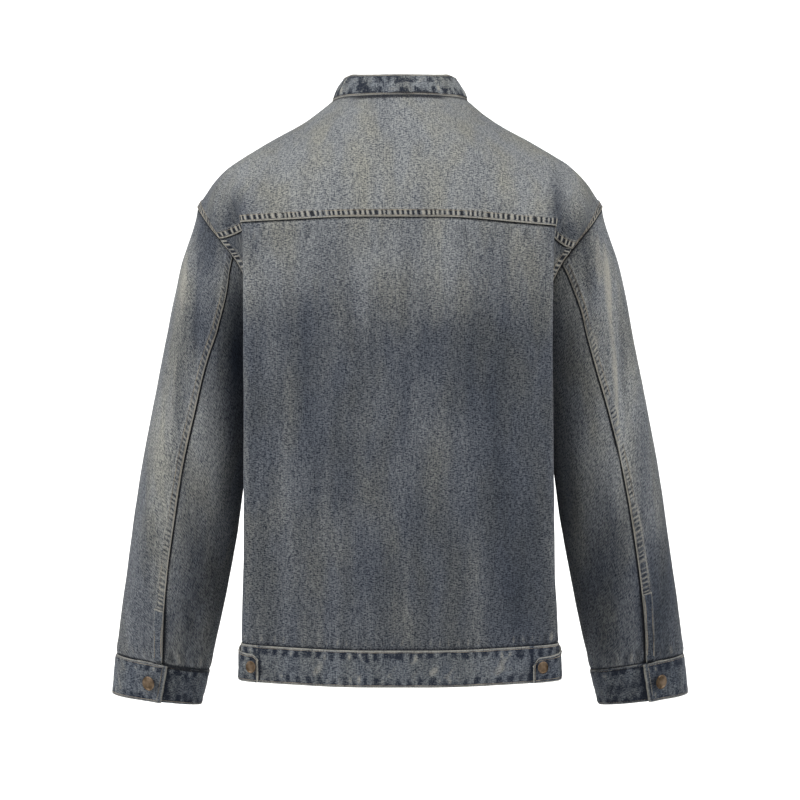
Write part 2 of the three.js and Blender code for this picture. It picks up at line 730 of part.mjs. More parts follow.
function cuffPlace(side, turn, share, lift) {
  const angle = degToRad(turn);
  const top = cuffTopZ + cuffTopTilt * Math.cos(angle) - seamGap;
  const end = cuffEndZ + cuffEndTilt * Math.cos(angle);
  const own = (a, b) => sleeveBase(side, a, b);
  const z = lerp(top, end, share);
  const place = { point: own(turn, z), out: outward(side, own, turn, z, -1, 1) };
  place.point.addScaledVector(place.out, bandRise + lift);
  return place;
}

function makeCuff(side, word) {
  const lapEdge = cuffLaps[word].edge;
  const turns = [0, 0.35, 0.7, 1].map((share) => lerp(lapEdge, cuffUnderTurn, share));
  turns.push(48, 36, 24, 12, 0, -15, -30, -45, -60, -75, -90, -105, -120, -135, -150, -165, -180, -195, -210);
  turns.push(-225, -240, ...turns.slice(0, 4).map((turn) => turn - 360));
  const places = waistbandShares.map((share) =>
    turns.map((turn) => cuffPlace(side, turn, share, (bandWall + 0.4) * smoothstep(turn, 12, 50))),
  );
  return clothWallMesh(`cuff_${word}`, places, denimDark, bandWall);
}

// The strip that finishes the sleeve's slit above the cuff, laid on the outer sleeve.
function makeSleevePlacket(side, word) {
  const width = 8.5; // degrees round the sleeve
  const first = side < 0 ? 0.868 : 0.834;
  const last = 0.992;
  const places = [0, 0.2, 0.4, 0.6, 0.8, 1].map((along) => {
    const share = lerp(first, last, along);
    const edge = columnAt(sleeveSeams, side < 0 ? "backLeft" : "backRight", share, "share") - 0.4;
    return [edge, edge - width / 2, edge - width].map((turn) => {
      const place = sleevePlace(side, turn, share);
      place.point.addScaledVector(place.out, fellRise + seamGap + 1.2);
      return place;
    });
  });
  return clothWallMesh(`sleeve_placket_${word}`, places, denimDark, 1.2);
}

// A shank button: a foot on the cloth and a cap with a rolled rim.
function makeButton(name, diameter, { point, out }, clearance) {
  const radius = diameter / 2;
  const profile = [
    [0, 0],
    [0.42 * radius, 0],
    [0.42 * radius, 0.9],
    [0.94 * radius, 1.1],
    [radius, 1.9],
    [0.9 * radius, 2.7],
    [0.76 * radius, 2.4],
    [0, 2.6],
  ].map(([x, y]) => new THREE.Vector2(x, y));
  const mesh = new THREE.Mesh(new THREE.LatheGeometry(profile, 12), brass);
  mesh.name = name;
  mesh.quaternion.setFromUnitVectors(new THREE.Vector3(0, 1, 0), out);
  mesh.position.copy(point).addScaledVector(out, clearance);
  return mesh;
}

function makeCuffButton(side, word) {
  const place = cuffPlace(side, cuffLaps[word].button, 0.5, bandWall + 0.4);
  return makeButton(`cuff_button_${word}`, buttonDiameter, place, seamGap);
}

function makeTabButton(tab, word) {
  const place = waistbandPlace(tab.side, tab.buttonStep, 0.52, tabLift, 5);
  return makeButton(`tab_button_${word}`, tabButtonDiameter, place, seamGap + 0.3);
}

// The front's buttons: five down the band and one on the waistband.
function makeFrontButtons() {
  const count = 5;
  const topZ = neckFrontZ - 34;
  const lowZ = hemSeamAt(sectionStops) + 46;
  const buttons = [];
  for (let k = 0; k < count; k++) {
    const z = lerp(topZ, lowZ, k / (count - 1));
    const place = bodyPlace(-1, stepAtX(z, 0), z);
    const rise = frontLift(-1, 0) + lapRise + seamGap;
    buttons.push(makeButton(`front_button_${k + 1}`, buttonDiameter, place, rise));
  }
  const waist = waistbandPlace(-1, sectionStops, 0.5, tabLift + 0.3);
  buttons.push(makeButton("waistband_button", buttonDiameter, waist, seamGap + 0.1));
  return buttons;
}

const jacket = new THREE.Group();
jacket.add(makeYoke(), makeBack(), ...makeFronts(), makeCollar());
jacket.add(makeBackWaistband(), ...tabs.map(makeFrontWaistband), ...makeFrontButtons());
for (const [side, word] of [[-1, "left"], [1, "right"]]) {
  jacket.add(...makeSleeve(side, word), makeCuff(side, word), makeSleevePlacket(side, word));
  jacket.add(makeCuffButton(side, word), makeTabButton(tabs.find((tab) => tab.side === side), word));
}

export default jacket;
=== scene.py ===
# A washed denim jacket, filled out as it is worn, seen from behind.
# Each piece of cloth is a fine grid laid on the pattern's own surface and given its thickness.
# Lengths are millimetres until a mesh is made. The back faces -Y, +X is the wearer's right.
import math
import bmesh
import bpy
import numpy as np
from mathutils import Matrix, Vector


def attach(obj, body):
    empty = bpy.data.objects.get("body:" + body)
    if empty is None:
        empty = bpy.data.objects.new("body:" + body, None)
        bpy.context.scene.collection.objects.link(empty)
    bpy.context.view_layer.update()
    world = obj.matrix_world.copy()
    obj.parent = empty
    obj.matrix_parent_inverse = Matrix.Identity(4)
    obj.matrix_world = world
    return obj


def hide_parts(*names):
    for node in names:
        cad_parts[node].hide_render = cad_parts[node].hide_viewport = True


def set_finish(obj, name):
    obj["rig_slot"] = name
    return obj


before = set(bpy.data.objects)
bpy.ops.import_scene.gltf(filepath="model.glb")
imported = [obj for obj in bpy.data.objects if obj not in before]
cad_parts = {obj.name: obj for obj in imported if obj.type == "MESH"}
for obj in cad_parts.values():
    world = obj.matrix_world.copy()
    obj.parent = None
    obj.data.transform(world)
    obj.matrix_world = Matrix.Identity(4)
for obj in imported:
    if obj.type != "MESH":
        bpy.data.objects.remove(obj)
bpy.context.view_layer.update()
mm = 0.001


# Small sums

def table(names, rows):
    data = np.array(rows, float)
    return {name: data[:, i] for i, name in enumerate(names)}


def lerp(a, b, t):
    return a + (b - a) * t


def smoothstep(x, low, high):
    t = np.clip((x - low) / (high - low), 0, 1)
    return t * t * (3 - 2 * t)


def unit(v):
    return v / np.maximum(np.linalg.norm(v, axis=-1, keepdims=True), 1e-9)


# a soft hump, 1 high at the middle and about a third of that at its reach
def hump(x, middle, reach):
    return np.exp(-(((x - middle) / reach) ** 2))


# 0 at both ends of a crease, and 1 from the given share of its length on
def fadeEnds(along, over):
    return smoothstep(along, 0, over) * smoothstep(1 - along, 0, over)


# running distances, from 0, along lines of points
def distancesAlong(points, axis=0):
    steps = np.linalg.norm(np.diff(points, axis=axis), axis=-1)
    return np.insert(np.cumsum(steps, axis), 0, 0, axis)


def distanceTo(point, edge):
    return np.linalg.norm(point - edge, axis=-1)


# a smooth value of one column, which doesn't overshoot its rows
def columnAt(rows, column, at, key="z"):
    x, y = rows[key], rows[column]
    at = np.asarray(at, float)
    sign = 1 if x[-1] > x[0] else -1
    i = np.clip(np.searchsorted(sign * x, sign * at) - 1, 0, len(x) - 2)
    slope = np.diff(y) / np.diff(x)
    product, both = slope[:-1] * slope[1:], slope[:-1] + slope[1:]
    inner = np.where(product > 0, 2 * product / np.where(product > 0, both, 1), 0)
    tangent = np.concatenate([slope[:1], inner, slope[-1:]])
    span = x[i + 1] - x[i]
    t = np.clip((at - x[i]) / span, 0, 1)
    ends = y[i] * (1 + 2 * t) * (1 - t) ** 2 + y[i + 1] * t * t * (3 - 2 * t)
    return ends + span * (tangent[i] * t * (1 - t) ** 2 - tangent[i + 1] * t * t * (1 - t))


# smooth noise from -1 to 1, with cells one unit wide
def softNoise(x, y, seed):
    grid = np.random.default_rng(seed).uniform(-1, 1, (64, 64))
    x, y = np.broadcast_arrays(np.asarray(x, float), np.asarray(y, float))
    i, j = np.floor(x).astype(int), np.floor(y).astype(int)
    u, v = smoothstep(x - i, 0, 1), smoothstep(y - j, 0, 1)
    corner = [[grid[(i + a) % 64, (j + b) % 64] for b in (0, 1)] for a in (0, 1)]
    return lerp(lerp(corner[0][0], corner[0][1], v), lerp(corner[1][0], corner[1][1], v), u)


# The pattern: the same seams and sections as the solids

pattern = {
    "wall": 1.6, "bandWall": 2.4, "bandRise": 0.5, "seamGap": 0.3,
    "fellRise": 1.1, "fellWidth": 9.5, "fellSlope": 1.6,
    "yokeSeamZ": -139, "yokeDropLeft": 5, "yokeDropRight": 9,
    "hemSeamZ": -629, "hemSeamLift": 8, "waistbandHeight": 42,
    "neckBackZ": 5, "neckSideZ": 3.5, "neckFrontZ": -56,
    "tipZ": -121, "pitZ": -265, "armholeBack": 1.05, "armholeFront": 0.8,
    "shoulderTurn": -38, "yokeTurnLeft": 63, "yokeTurnRight": 73,
    "frontLap": 18, "frontLapStart": 60, "allowance": 4, "bandStitch": 2.4,
}
lapRise = pattern["wall"] + pattern["seamGap"]
lapClearance = 0.4  # between the two layers where a band laps itself
centreStep, sideStep, freeStep, ringSteps = 8, 5, 2.4, 16
noSeam = 99.0  # a distance that stands for no seam nearby
sideWords = {-1: "Left", 1: "Right"}

bodySections = table(
    ["z", "backY", "foldX", "foldY", "grooveX", "grooveY", "armX", "armY", "sideX", "breastX", "frontY", "foldIn"],
    [
        [8, -60, 55, -43, 64, -31, 70, -17, 73, 58, 48, 0],
        [-20, -84, 90, -52, 99, -38, 105, -20, 108, 88, 60, 0],
        [-50, -102, 137, -58, 149, -42, 157, -21, 161, 138, 75, 0],
        [-82, -114, 180, -62, 193, -47, 203, -25, 208, 178, 91, 0],
        [-105, -120, 188, -82, 198, -63, 215, -38, 226, 190, 100, 0],
        [-125, -123, 182, -99, 188, -78, 214, -51, 238, 196, 106, 2],
        [-145, -125, 178, -107, 180, -80, 211, -58, 243, 198, 110, 3.5],
        [-165, -126, 177, -109, 175, -78, 202, -64, 240, 196, 113, 4],
        [-195, -127, 177, -110, 170, -79, 183, -66, 222, 190, 116, 4],
        [-230, -126, 177, -110, 166, -80, 166, -57, 180, 176, 118, 4],
        [-265, -125, 177, -110, 164, -81, 153, -46, 147, 168, 118, 4],
        [-320, -123, 177, -109, 165, -81, 154, -44, 149, 167, 117, 4],
        [-420, -121, 177, -108, 169, -81, 162, -44, 159, 170, 116, 3.5],
        [-520, -120, 176, -106, 172, -80, 170, -45, 168, 174, 116, 2],
        [-621, -121, 178, -104, 178, -78, 178, -44, 177, 178, 117, 0],
        [-690, -120, 179, -103, 180, -78, 180, -44, 179, 179, 116, 0],
    ],
)

sleeveSections = table(
    ["z", "outerX", "innerX", "halfDepth", "middleY"],
    [
        [-110, 231, 150, 34, 0],
        [-129, 240, 150, 50, 0],
        [-175, 252, 149, 72, 0],
        [-217, 262, 149, 80, 0],
        [-287, 276, 158, 80, 2],
        [-358, 290, 169, 75, 4],
        [-428, 303.5, 180, 69, 7],
        [-498, 313.5, 190, 62, 11],
        [-568, 324, 203, 54, 16],
        [-638, 333, 218, 45, 21],
        [-712, 341, 236, 37, 25],
    ],
)

sleeveSeams = table(
    ["share", "backLeft", "backRight", "under"],
    [
        [0, 77, 86, 180],
        [0.05, 90, 90, 180],
        [0.09, 95, 91.5, 180],
        [0.14, 95, 91.5, 180],
        [0.2, 91, 89.5, 179],
        [0.28, 87, 86, 178],
        [0.37, 85, 81.5, 176],
        [0.5, 82, 77.5, 174],
        [0.7, 80.5, 73.5, 170],
        [0.85, 83.5, 75, 167],
        [0.95, 88.5, 78.5, 166],
        [1, 92, 82.5, 165],
    ],
)

# the largest folds: side (0 is both), a crease's two ends, its reach to each side and its rise
bodyFolds = [
    [-1, 0.85, -300, 1.1, -600, 22, 3.0],
    [-1, 0.35, -430, 0.3, -615, 16, -2.0],
    [1, 1.5, -170, 1.2, -470, 20, -3.0],
    [1, 0.75, -330, 0.9, -610, 20, 2.5],
    [1, 1.55, -480, 1.6, -618, 12, -2.4],
    [-1, 1.6, -500, 1.55, -618, 12, 2.0],
    [0, 3.6, -330, 3.3, -600, 16, -2.5],
    [0, 5.6, -300, 5.4, -600, 20, 3.5],
    [0, 6.3, -230, 6.1, -520, 22, -3.5],
    [0, 6.0, -560, 6.4, -618, 12, 2.2],
    [-1, 4.0, -72, 2.3, -126, 16, 1.2],
    [1, 4.1, -66, 2.2, -128, 16, 2.2],
    [0, 3.7, -90, 3.3, -140, 14, -1.5],
]
sleeveFolds = [
    [-1, 45, -150, 35, -330, 9, 2.2],
    [-1, 60, -330, 40, -620, 10, 1.6],
    [1, 40, -150, 45, -380, 9, 2.4],
    [1, 28, -170, 30, -420, 8, 2.0],
    [0, 120, -330, 135, -560, 14, 2.2],
    [0, -60, -200, -75, -420, 14, 2.6],
    [0, -120, -380, -100, -610, 14, 2.4],
    [0, -20, -520, -50, -640, 10, 1.8],
]
bodyStepWorth, sleeveTurnWorth = 58, 1.15  # millimetres beside a crease


# how near a point (a, z) lies to a crease: its share along and its distance off
def besideCrease(a, z, a1, z1, a2, z2):
    run = np.array([a2 - a1, z2 - z1])
    along = np.clip(((a - a1) * run[0] + (z - z1) * run[1]) / (run @ run), 0, 1)
    off = np.hypot(a - a1 - along * run[0], z - z1 - along * run[1])
    return along, off


def foldRise(folds, side, a, z, worth):
    rise = np.zeros(np.broadcast(a, z).shape)
    for forSide, a1, z1, a2, z2, reach, height in folds:
        along, off = besideCrease(a * worth, z, a1 * worth, z1, a2 * worth, z2)
        ours = (side == forSide) if forSide else True
        rise = rise + np.where(ours, height * hump(off, 0, reach) * fadeEnds(along, 0.3), 0)
    return rise


def bodyRing(z):
    at = {name: columnAt(bodySections, name, z) for name in bodySections if name != "z"}
    half = lambda foldIn: [
        (0.55 * at["foldX"], lerp(at["backY"], at["foldY"], 0.16)),
        (at["foldX"] - foldIn, at["foldY"]),
        (at["grooveX"] - foldIn / 2, at["grooveY"]),
        (at["armX"], at["armY"]),
        (at["sideX"], 0 * z),
        (at["breastX"], 0.66 * at["frontY"]),
        (0.55 * at["breastX"], 0.94 * at["frontY"]),
    ]
    left = [(-x, y) for x, y in half(0)][::-1]
    ring = [(0 * z, at["backY"]), *half(at["foldIn"]), (0 * z, at["frontY"]), *left]
    return np.stack([np.stack(np.broadcast_arrays(x, y), -1) for x, y in ring], -2)


# A point of the body at a signed section step (0 centre back, 5 side, 8 centre front) and a height.
def bodyBase(step, z):
    step, z = (np.asarray(v, float) for v in np.broadcast_arrays(step, z))
    around = step % ringSteps
    first = np.floor(around).astype(int)
    t = (around - first)[..., None]
    ring = bodyRing(z)
    x0, x1, x2, x3 = (
        np.take_along_axis(ring, ((first + k) % ringSteps)[..., None, None], -2)[..., 0, :] for k in (-1, 0, 1, 2)
    )
    gap = lambda a, b: np.sqrt(np.linalg.norm(b - a, axis=-1, keepdims=True))
    d0, d1, d2 = gap(x0, x1), gap(x1, x2), gap(x2, x3)
    t1 = d1 * ((x1 - x0) / d0 - (x2 - x0) / (d0 + d1) + (x2 - x1) / d1)
    t2 = d1 * ((x2 - x1) / d1 - (x3 - x1) / (d1 + d2) + (x3 - x2) / d2)
    flat = x1 + t1 * t + (-3 * x1 + 3 * x2 - 2 * t1 - t2) * t * t + (2 * x1 - 2 * x2 + t1 + t2) * t ** 3
    return np.concatenate([flat, z[..., None]], -1)


def outward(surface, a, b, stepA, stepB):
    alongA = surface(a + stepA, b) - surface(a - stepA, b)
    alongB = surface(a, b + stepB) - surface(a, b - stepB)
    return unit(np.cross(alongA, alongB))


def bodyPoint(step, z):
    side = np.where(np.asarray(step) >= 0, 1, -1)
    rise = foldRise(bodyFolds, side, side * step, z, bodyStepWorth)
    return bodyBase(step, z) + outward(bodyBase, step, z, 0.05, 2) * rise[..., None]


def bodyPlace(step, z):
    return bodyPoint(step, z), outward(bodyPoint, step, z, 0.05, 2)


def armholeAt(turn):
    angle = np.radians(turn)
    reach = np.where(angle > 0, pattern["armholeBack"], pattern["armholeFront"])
    step = sideStep - reach * np.sin(angle)
    return step, lerp(pattern["pitZ"], pattern["tipZ"], (1 + np.cos(angle)) / 2)


def yokeTurn(side):
    return pattern["yokeTurnLeft"] if side < 0 else pattern["yokeTurnRight"]


def yokeSeamAt(side, s):
    drop = pattern["yokeDropLeft"] if side < 0 else pattern["yokeDropRight"]
    atFold = pattern["yokeSeamZ"] - drop * smoothstep(s, 0.4, 2)
    cornerStep, cornerZ = armholeAt(yokeTurn(side))
    return lerp(atFold, cornerZ, smoothstep(s, 2, cornerStep) ** 1.3)


def hemSeamAt(s):
    return pattern["hemSeamZ"] + pattern["hemSeamLift"] * smoothstep(np.minimum(s, ringSteps - s), 0.3, 2.6)


# the section step near the centre front where one side's cloth is at x
def stepAtX(z, x):
    low, high = np.full(np.shape(z), 6.0), np.full(np.shape(z), 10.0)
    for _ in range(24):
        middle = (low + high) / 2
        further = bodyBase(middle, z)[..., 0] > x
        low, high = np.where(further, middle, low), np.where(further, high, middle)
    return low


def necklineAt(s):
    s = np.minimum(s, ringSteps - s)
    neckBack, neckSide, neckFront = (pattern[k] for k in ("neckBackZ", "neckSideZ", "neckFrontZ"))
    behind = lerp(neckBack, neckSide, (np.minimum(s, sideStep) / sideStep) ** 6)
    sideWidth = bodyBase(sideStep, neckSide)[0]
    low, high = np.full(np.shape(s), float(neckFront)), np.full(np.shape(s), float(neckSide))
    for _ in range(24):
        z = (low + high) / 2
        width = sideWidth * np.sqrt(np.maximum(1 - ((z - neckSide) / (neckFront - neckSide)) ** 2, 0))
        outside = bodyBase(s, z)[..., 0] > width
        low, high = np.where(outside, z, low), np.where(outside, high, z)
    return np.where(s <= sideStep, behind, low)


# Shares of many paths that lie at given distances from their start, and then evenly to their end.
# A path is a function of a share; it returns one point for each row.
def sharesAlong(path, distances, evenSteps):
    samples = np.linspace(0, 1, 41)
    points = np.stack([path(t) for t in samples], 1)
    lengths = distancesAlong(points, 1)
    rest = np.linspace(0, 1, evenSteps + 1)[1:]
    shares = []
    for length in lengths:
        wanted = np.concatenate([distances, distances[-1] + (length[-1] - distances[-1]) * rest])
        shares.append(np.interp(wanted, length, samples))
    return np.array(shares)


# distances of a felled band's rows from its folded edge, and of the rows just past it
fellRows = np.array([0, 0.35, 0.9, 1.6, 2.4, 3.4, 4.5, 5.6, 6.7, 7.6, 8.4, 9.3, 10.2, 11.4, 13.2, 15.4])
stitchLines = (1.9, 8.0)  # the two rows of topstitching


# Cloth

# Bends of the cloth as they show from behind, in the picture's plane: two ends, reach, rise, and how worn
# the ridge or how dark the trough is.
creasesBehind = [
    # left sleeve
    [-244, -150, -252, -270, 5, 2.2, 0.6],
    [-252, -250, -268, -420, 6, 2.0, 0.45],
    [-262, -180, -268, -330, 5, -1.6, 0.3],
    [-232, -190, -238, -330, 6, -1.6, 0.35],
    [-285, -440, -300, -600, 6, 1.5, 0.3],
    [-262, -505, -286, -630, 6, 1.2, 0.25],
    [-250, -560, -236, -640, 8, -1.8, 0.3],
    # right sleeve
    [227, -130, 228, -236, 4.5, 1.8, 0.55],
    [234, -140, 243, -300, 4, 2.2, 0.95],
    [242, -240, 254, -460, 4, 2.0, 0.9],
    [252, -200, 262, -400, 6, -1.8, 0.35],
    [222, -262, 224, -300, 6, 1.2, 0.4],
    [213, -150, 216, -240, 6, -1.6, 0.4],
    [268, -430, 298, -610, 6, 1.4, 0.3],
    # back: long soft folds, then below the yoke and above the waistband
    [-128, -330, -122, -600, 14, 2.0, 0.1],
    [-62, -150, -70, -420, 12, -1.6, 0.1],
    [-10, -150, -22, -300, 14, 1.4, 0.08],
    [60, -230, 128, -560, 20, -3.0, 0.12],
    [86, -420, 84, -620, 10, 2.0, 0.15],
    [-30, -400, -36, -620, 16, 1.6, 0.08],
    [30, -300, 40, -600, 14, -1.4, 0.08],
    [150, -180, 146, -500, 12, 1.6, 0.1],
    [-156, -200, -160, -460, 12, -1.6, 0.1],
    [-166, -150, -170, -196, 4, 1.0, 0.3],
    [-110, -146, -106, -188, 6, -1.0, 0.3],
    [-26, -142, -36, -184, 7, -1.0, 0.3],
    [44, -140, 46, -196, 7, 1.0, 0.25],
    [74, -144, 78, -200, 7, -1.2, 0.3],
    [120, -150, 116, -200, 6, 1.0, 0.25],
]
creasesInFront = [
    [-150, -150, -120, -240, 9, 2.0, 0.3],
    [150, -160, 118, -250, 9, 2.0, 0.3],
    [-90, -560, -70, -612, 6, 1.4, 0.35],
    [84, -566, 66, -612, 6, 1.3, 0.35],
    [-210, -300, -250, -360, 6, 2.0, 0.5],
    [-206, -330, -262, -380, 5, -1.8, 0.4],
    [-214, -360, -270, -420, 5, 1.8, 0.5],
    [212, -300, 252, -360, 6, 2.0, 0.5],
    [206, -334, 262, -384, 5, -1.8, 0.4],
    [216, -364, 272, -424, 5, 1.8, 0.5],
    [-250, -590, -268, -636, 5, 1.6, 0.4],
    [256, -590, 274, -636, 5, 1.6, 0.4],
]

# Paler and darker parts of the wash: middle x and z, reach to each side and up and down, and how much
# paler. A wash of 1 is the pale grey of the shoulders, 0 the blue-grey of the lower back, -1 unfaded. Some
# patches are painted shade, and some partly painted light, as marked beside them.
bodyWashLightAndShade = [
    [0, -60, 110, 90, 0.16],
    # the yoke's sides, paler: partly the cloth's own fade and partly painted light
    [-140, -95, 50, 40, 0.18],
    [150, -90, 60, 50, 0.42],
    [150, -200, 40, 50, -0.15],
    [0, -190, 190, 60, -0.1],
    # painted shade in the groove behind each arm, where the back's fold meets the sleeve
    [-186, -128, 20, 26, -0.8],
    [-196, -168, 30, 30, -0.6],
    [178, -120, 10, 40, -0.9],
    [200, -165, 24, 40, -0.6],
    [-140, -205, 34, 34, 0.2],
    [20, -190, 44, 40, 0.22],
    [-86, -190, 9, 50, -0.25],
    [-62, -200, 9, 60, -0.2],
    [100, -190, 60, 40, -0.1],
    [-150, -290, 20, 40, 0.2],
    [-128, -440, 13, 170, 0.25],
    [-160, -330, 12, 70, -0.2],
    [-106, -330, 9, 90, -0.12],
    [90, -300, 40, 60, -0.3],
    [124, -430, 24, 120, -0.35],
    [140, -560, 26, 70, -0.35],
    [84, -560, 8, 70, 0.2],
    [-40, -560, 60, 60, 0.08],
    [10, -420, 60, 90, 0.08],
    [173, -400, 4, 300, 0.15],
    [-174, -400, 4, 300, 0.25],
]
sleeveWashAndShade = [
    # painted shade on the left sleeve's top just below the armhole, where it falls away from the back
    [-215, -150, 22, 50, -0.9],
    [-250, -200, 12, 90, 0.3],
    [-232, -250, 20, 50, -0.35],
    [-272, -400, 16, 120, 0.6],
    [-232, -400, 12, 60, 0.75],
    [-214, -420, 16, 70, 0.7],
    [-255, -330, 8, 60, -0.15],
    [-266, -570, 12, 80, -0.2],
    [-306, -560, 18, 90, -0.2],
    [-222, -560, 24, 110, -0.1],
    # painted shade on the left sleeve's inner side, beside the back
    [-186, -290, 15, 90, -1.3],
    [-190, -450, 10, 90, -0.15],
    # painted shade on the right sleeve's top just below the armhole
    [206, -170, 24, 60, -0.65],
    [238, -250, 16, 80, 0.35],
    [258, -370, 14, 90, 0.75],
    [222, -400, 16, 80, 0.6],
    [296, -460, 10, 110, 0.25],
    [276, -560, 10, 80, -0.1],
    [304, -590, 24, 90, -1.1],
    [236, -570, 24, 110, -0.45],
    [190, -330, 12, 160, 0.05],
]


def creaseShape(point, out):
    rise = np.zeros(point.shape[:-1])
    mark = np.zeros(point.shape[:-1])
    for creases, facing in ((creasesBehind, -1), (creasesInFront, 1)):
        seen = smoothstep(facing * out[..., 1], 0.05, 0.4)
        for x1, z1, x2, z2, reach, height, worn in creases:
            along, off = besideCrease(point[..., 0], point[..., 2], x1, z1, x2, z2)
            wander = 1.6 * np.sin(along * 7 + x1) * np.sin(along * math.pi)
            fade = fadeEnds(along, 0.35)
            rise += height * (hump(off + wander, 0, reach) * fade * seen)
            mark += math.copysign(worn, height) * hump(off + wander, 0, 0.75 * reach) * fade * seen
    return rise, mark


# the wash at each point: a pale top, soft noise and the listed patches, some of which are painted shade and painted
# light
def washLightAndShadeAt(point, patches):
    x, z = point[..., 0], point[..., 2]
    edge = -z + 14 * softNoise(x / 60, 0.5, 91)
    shoulders = 0.66 * (1 - smoothstep(edge, 190, 282)) + 0.14 * (1 - smoothstep(-z, 110, 150))
    pale = shoulders * (1 - 0.55 * smoothstep(np.abs(x), 195, 235))
    pale = pale + 0.12 * softNoise(x / 22, z / 190, 92) + 0.07 * softNoise(x / 8, z / 90, 93)
    for middleX, middleZ, reachX, reachZ, amount in patches:
        pale = pale + amount * np.exp(-(((x - middleX) / reachX) ** 2) - ((z - middleZ) / reachZ) ** 2)
    return pale


# Uneven pleats that the rows of stitching draw up along a seam: t runs along it and d away from its edge.
def puckers(t, d, seed, pitch=6.3, first=2.2, last=8.0, past=2.5):
    phase = 2 * math.pi * t / pitch + 1.9 * softNoise(t / 23, 0.5, seed) + 0.9 * softNoise(t / 9, 3.5, seed)
    lean = 0.5 * softNoise(t / 31, 7.5, seed)
    wave = np.sin(phase + lean * (d - 5) * 0.35)
    strength = 0.7 + 0.45 * softNoise(t / 17, 5.5, seed)
    window = smoothstep(d, first - 0.9, first + 0.9) * (1 - smoothstep(d, last - 0.4, last + past))
    return wave * strength, window


# The marks of such pleats: thin worn ridges between broader dark troughs.
def pleatMarks(wave):
    return 0.75 * smoothstep(wave, 0.3, 1.0) - 0.85 * smoothstep(-wave, -0.4, 0.4)


# The felled band along an edge: its height above one cloth, its worn ridges and its dark troughs.
def fell(t, d, seed):
    width, slope, rise = pattern["fellWidth"], pattern["fellSlope"], pattern["fellRise"]
    height = rise * (1 - smoothstep(d, width - 0.3, width + slope)) * smoothstep(d, -1.0, 0.7)
    for line in stitchLines:
        height = height - 0.3 * hump(d, line, 0.75)
    wave, window = puckers(t, d, seed)
    height = height + 0.2 * wave * window
    edge = 1 - smoothstep(d, 0.7, 1.7)
    beyond = hump(d, 9.9, 1.1) * (0.6 + 0.5 * softNoise(t / 12, 1.5, seed + 1))
    return height, 1.05 * edge + 0.62 * beyond


# Small unevenness everywhere: soft waves a few centimetres long, and finer ones.
def unevenness(point, seed):
    x, y, z = np.moveaxis(point, -1, 0)
    along = x + 0.6 * y
    broad = softNoise(along / 34, z / 70, seed) + 0.45 * softNoise(along / 13 + 9, z / 24, seed + 1)
    return 0.7 * broad


def finishMesh(name, bm):
    mesh = bpy.data.meshes.new(name)
    bm.to_mesh(mesh)
    bm.free()
    mesh.shade_smooth()
    return mesh


def putInScene(name, data):
    made = bpy.data.objects.new(name, data)
    bpy.context.scene.collection.objects.link(made)
    return made


# One piece of cloth from its grid of points and outward directions. Marks above 0 are worn and pale, and
# below 0 dark: unfaded cloth, and painted shadow and shade beside seams, laps and the neck. Its wash holds the
# cloth's fade, with painted shade and painted light in some places. The piece's own UV map is its cloth in
# metres, across and up. A seam's two grids are the way along a felled band and the distance from its edge,
# from which the material draws its pleats.
def makeCloth(name, point, out, mark, wall, seed, replaces, slot, flat, held, wave=1.0, seam=None,
              patches=bodyWashLightAndShade, washed=0.0):
    rows, columns = point.shape[:2]
    creaseRise, creaseMark = creaseShape(point, out)
    lift = creaseRise + wave * unevenness(point, seed)
    point = point + out * lift[..., None]
    mark = np.clip(mark + creaseMark, -1, 1)

    across, up = distancesAlong(point, 1), distancesAlong(point)
    across -= across[:, columns // 2][:, None]

    bm = bmesh.new()
    bm.loops.layers.uv.new("clothGrain")
    bmesh.ops.create_grid(bm, x_segments=columns - 1, y_segments=rows - 1, size=1)
    mesh = bpy.data.meshes.new(name)
    bm.to_mesh(mesh)
    bm.free()
    count = len(mesh.vertices)
    place = np.zeros(count * 3)
    mesh.vertices.foreach_get("co", place)
    place = place.reshape(-1, 3)
    i = np.rint((place[:, 0] + 1) / 2 * (columns - 1)).astype(int)
    j = np.rint((place[:, 1] + 1) / 2 * (rows - 1)).astype(int)
    mesh.vertices.foreach_set("co", (point[j, i] * mm).ravel())
    corner = np.zeros(len(mesh.loops), int)
    mesh.loops.foreach_get("vertex_index", corner)
    grain = np.stack([across[j, i], up[j, i]], -1) * mm
    mesh.uv_layers["clothGrain"].data.foreach_set("uv", grain[corner].ravel())
    along, away, pleated = seam if seam else (0, noSeam, 0)
    grids = {
        "wearAndShade": mark, "washLightAndShade": washLightAndShadeAt(point, patches) + washed,
        "seamAlong": along * mm, "seamAway": away * mm, "pleated": pleated,
    }
    for title, values in grids.items():
        values = np.broadcast_to(values, mark.shape)[j, i].astype(np.float32)
        mesh.attributes.new(title, "FLOAT", "POINT").data.foreach_set("value", values)
    mesh.update()

    # the faces have to look the way that out points
    normals = np.zeros(len(mesh.polygons) * 3)
    mesh.polygons.foreach_get("normal", normals)
    firstCorner = corner.reshape(-1, 4)[:, 0]
    agree = (normals.reshape(-1, 3) * out[j, i][firstCorner]).sum(-1).mean()
    if agree < 0:
        mesh.flip_normals()
    mesh.shade_smooth()
    piece = putInScene(name, mesh)
    thick = piece.modifiers.new("cloth", "SOLIDIFY")
    thick.thickness = wall * mm
    thick.offset = -1
    thick.use_even_offset = False
    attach(piece, "root")
    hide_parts(replaces)
    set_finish(piece, slot)
    sheets.append((piece, flat, held))
    return piece


sheets = []


# Topstitching

thread = {"thickness": 0.75, "stitch": 2.7, "gap": 0.7, "sides": 4, "proud": 0.16}
threadRows = {}  # for each piece, the rows of stitches on it


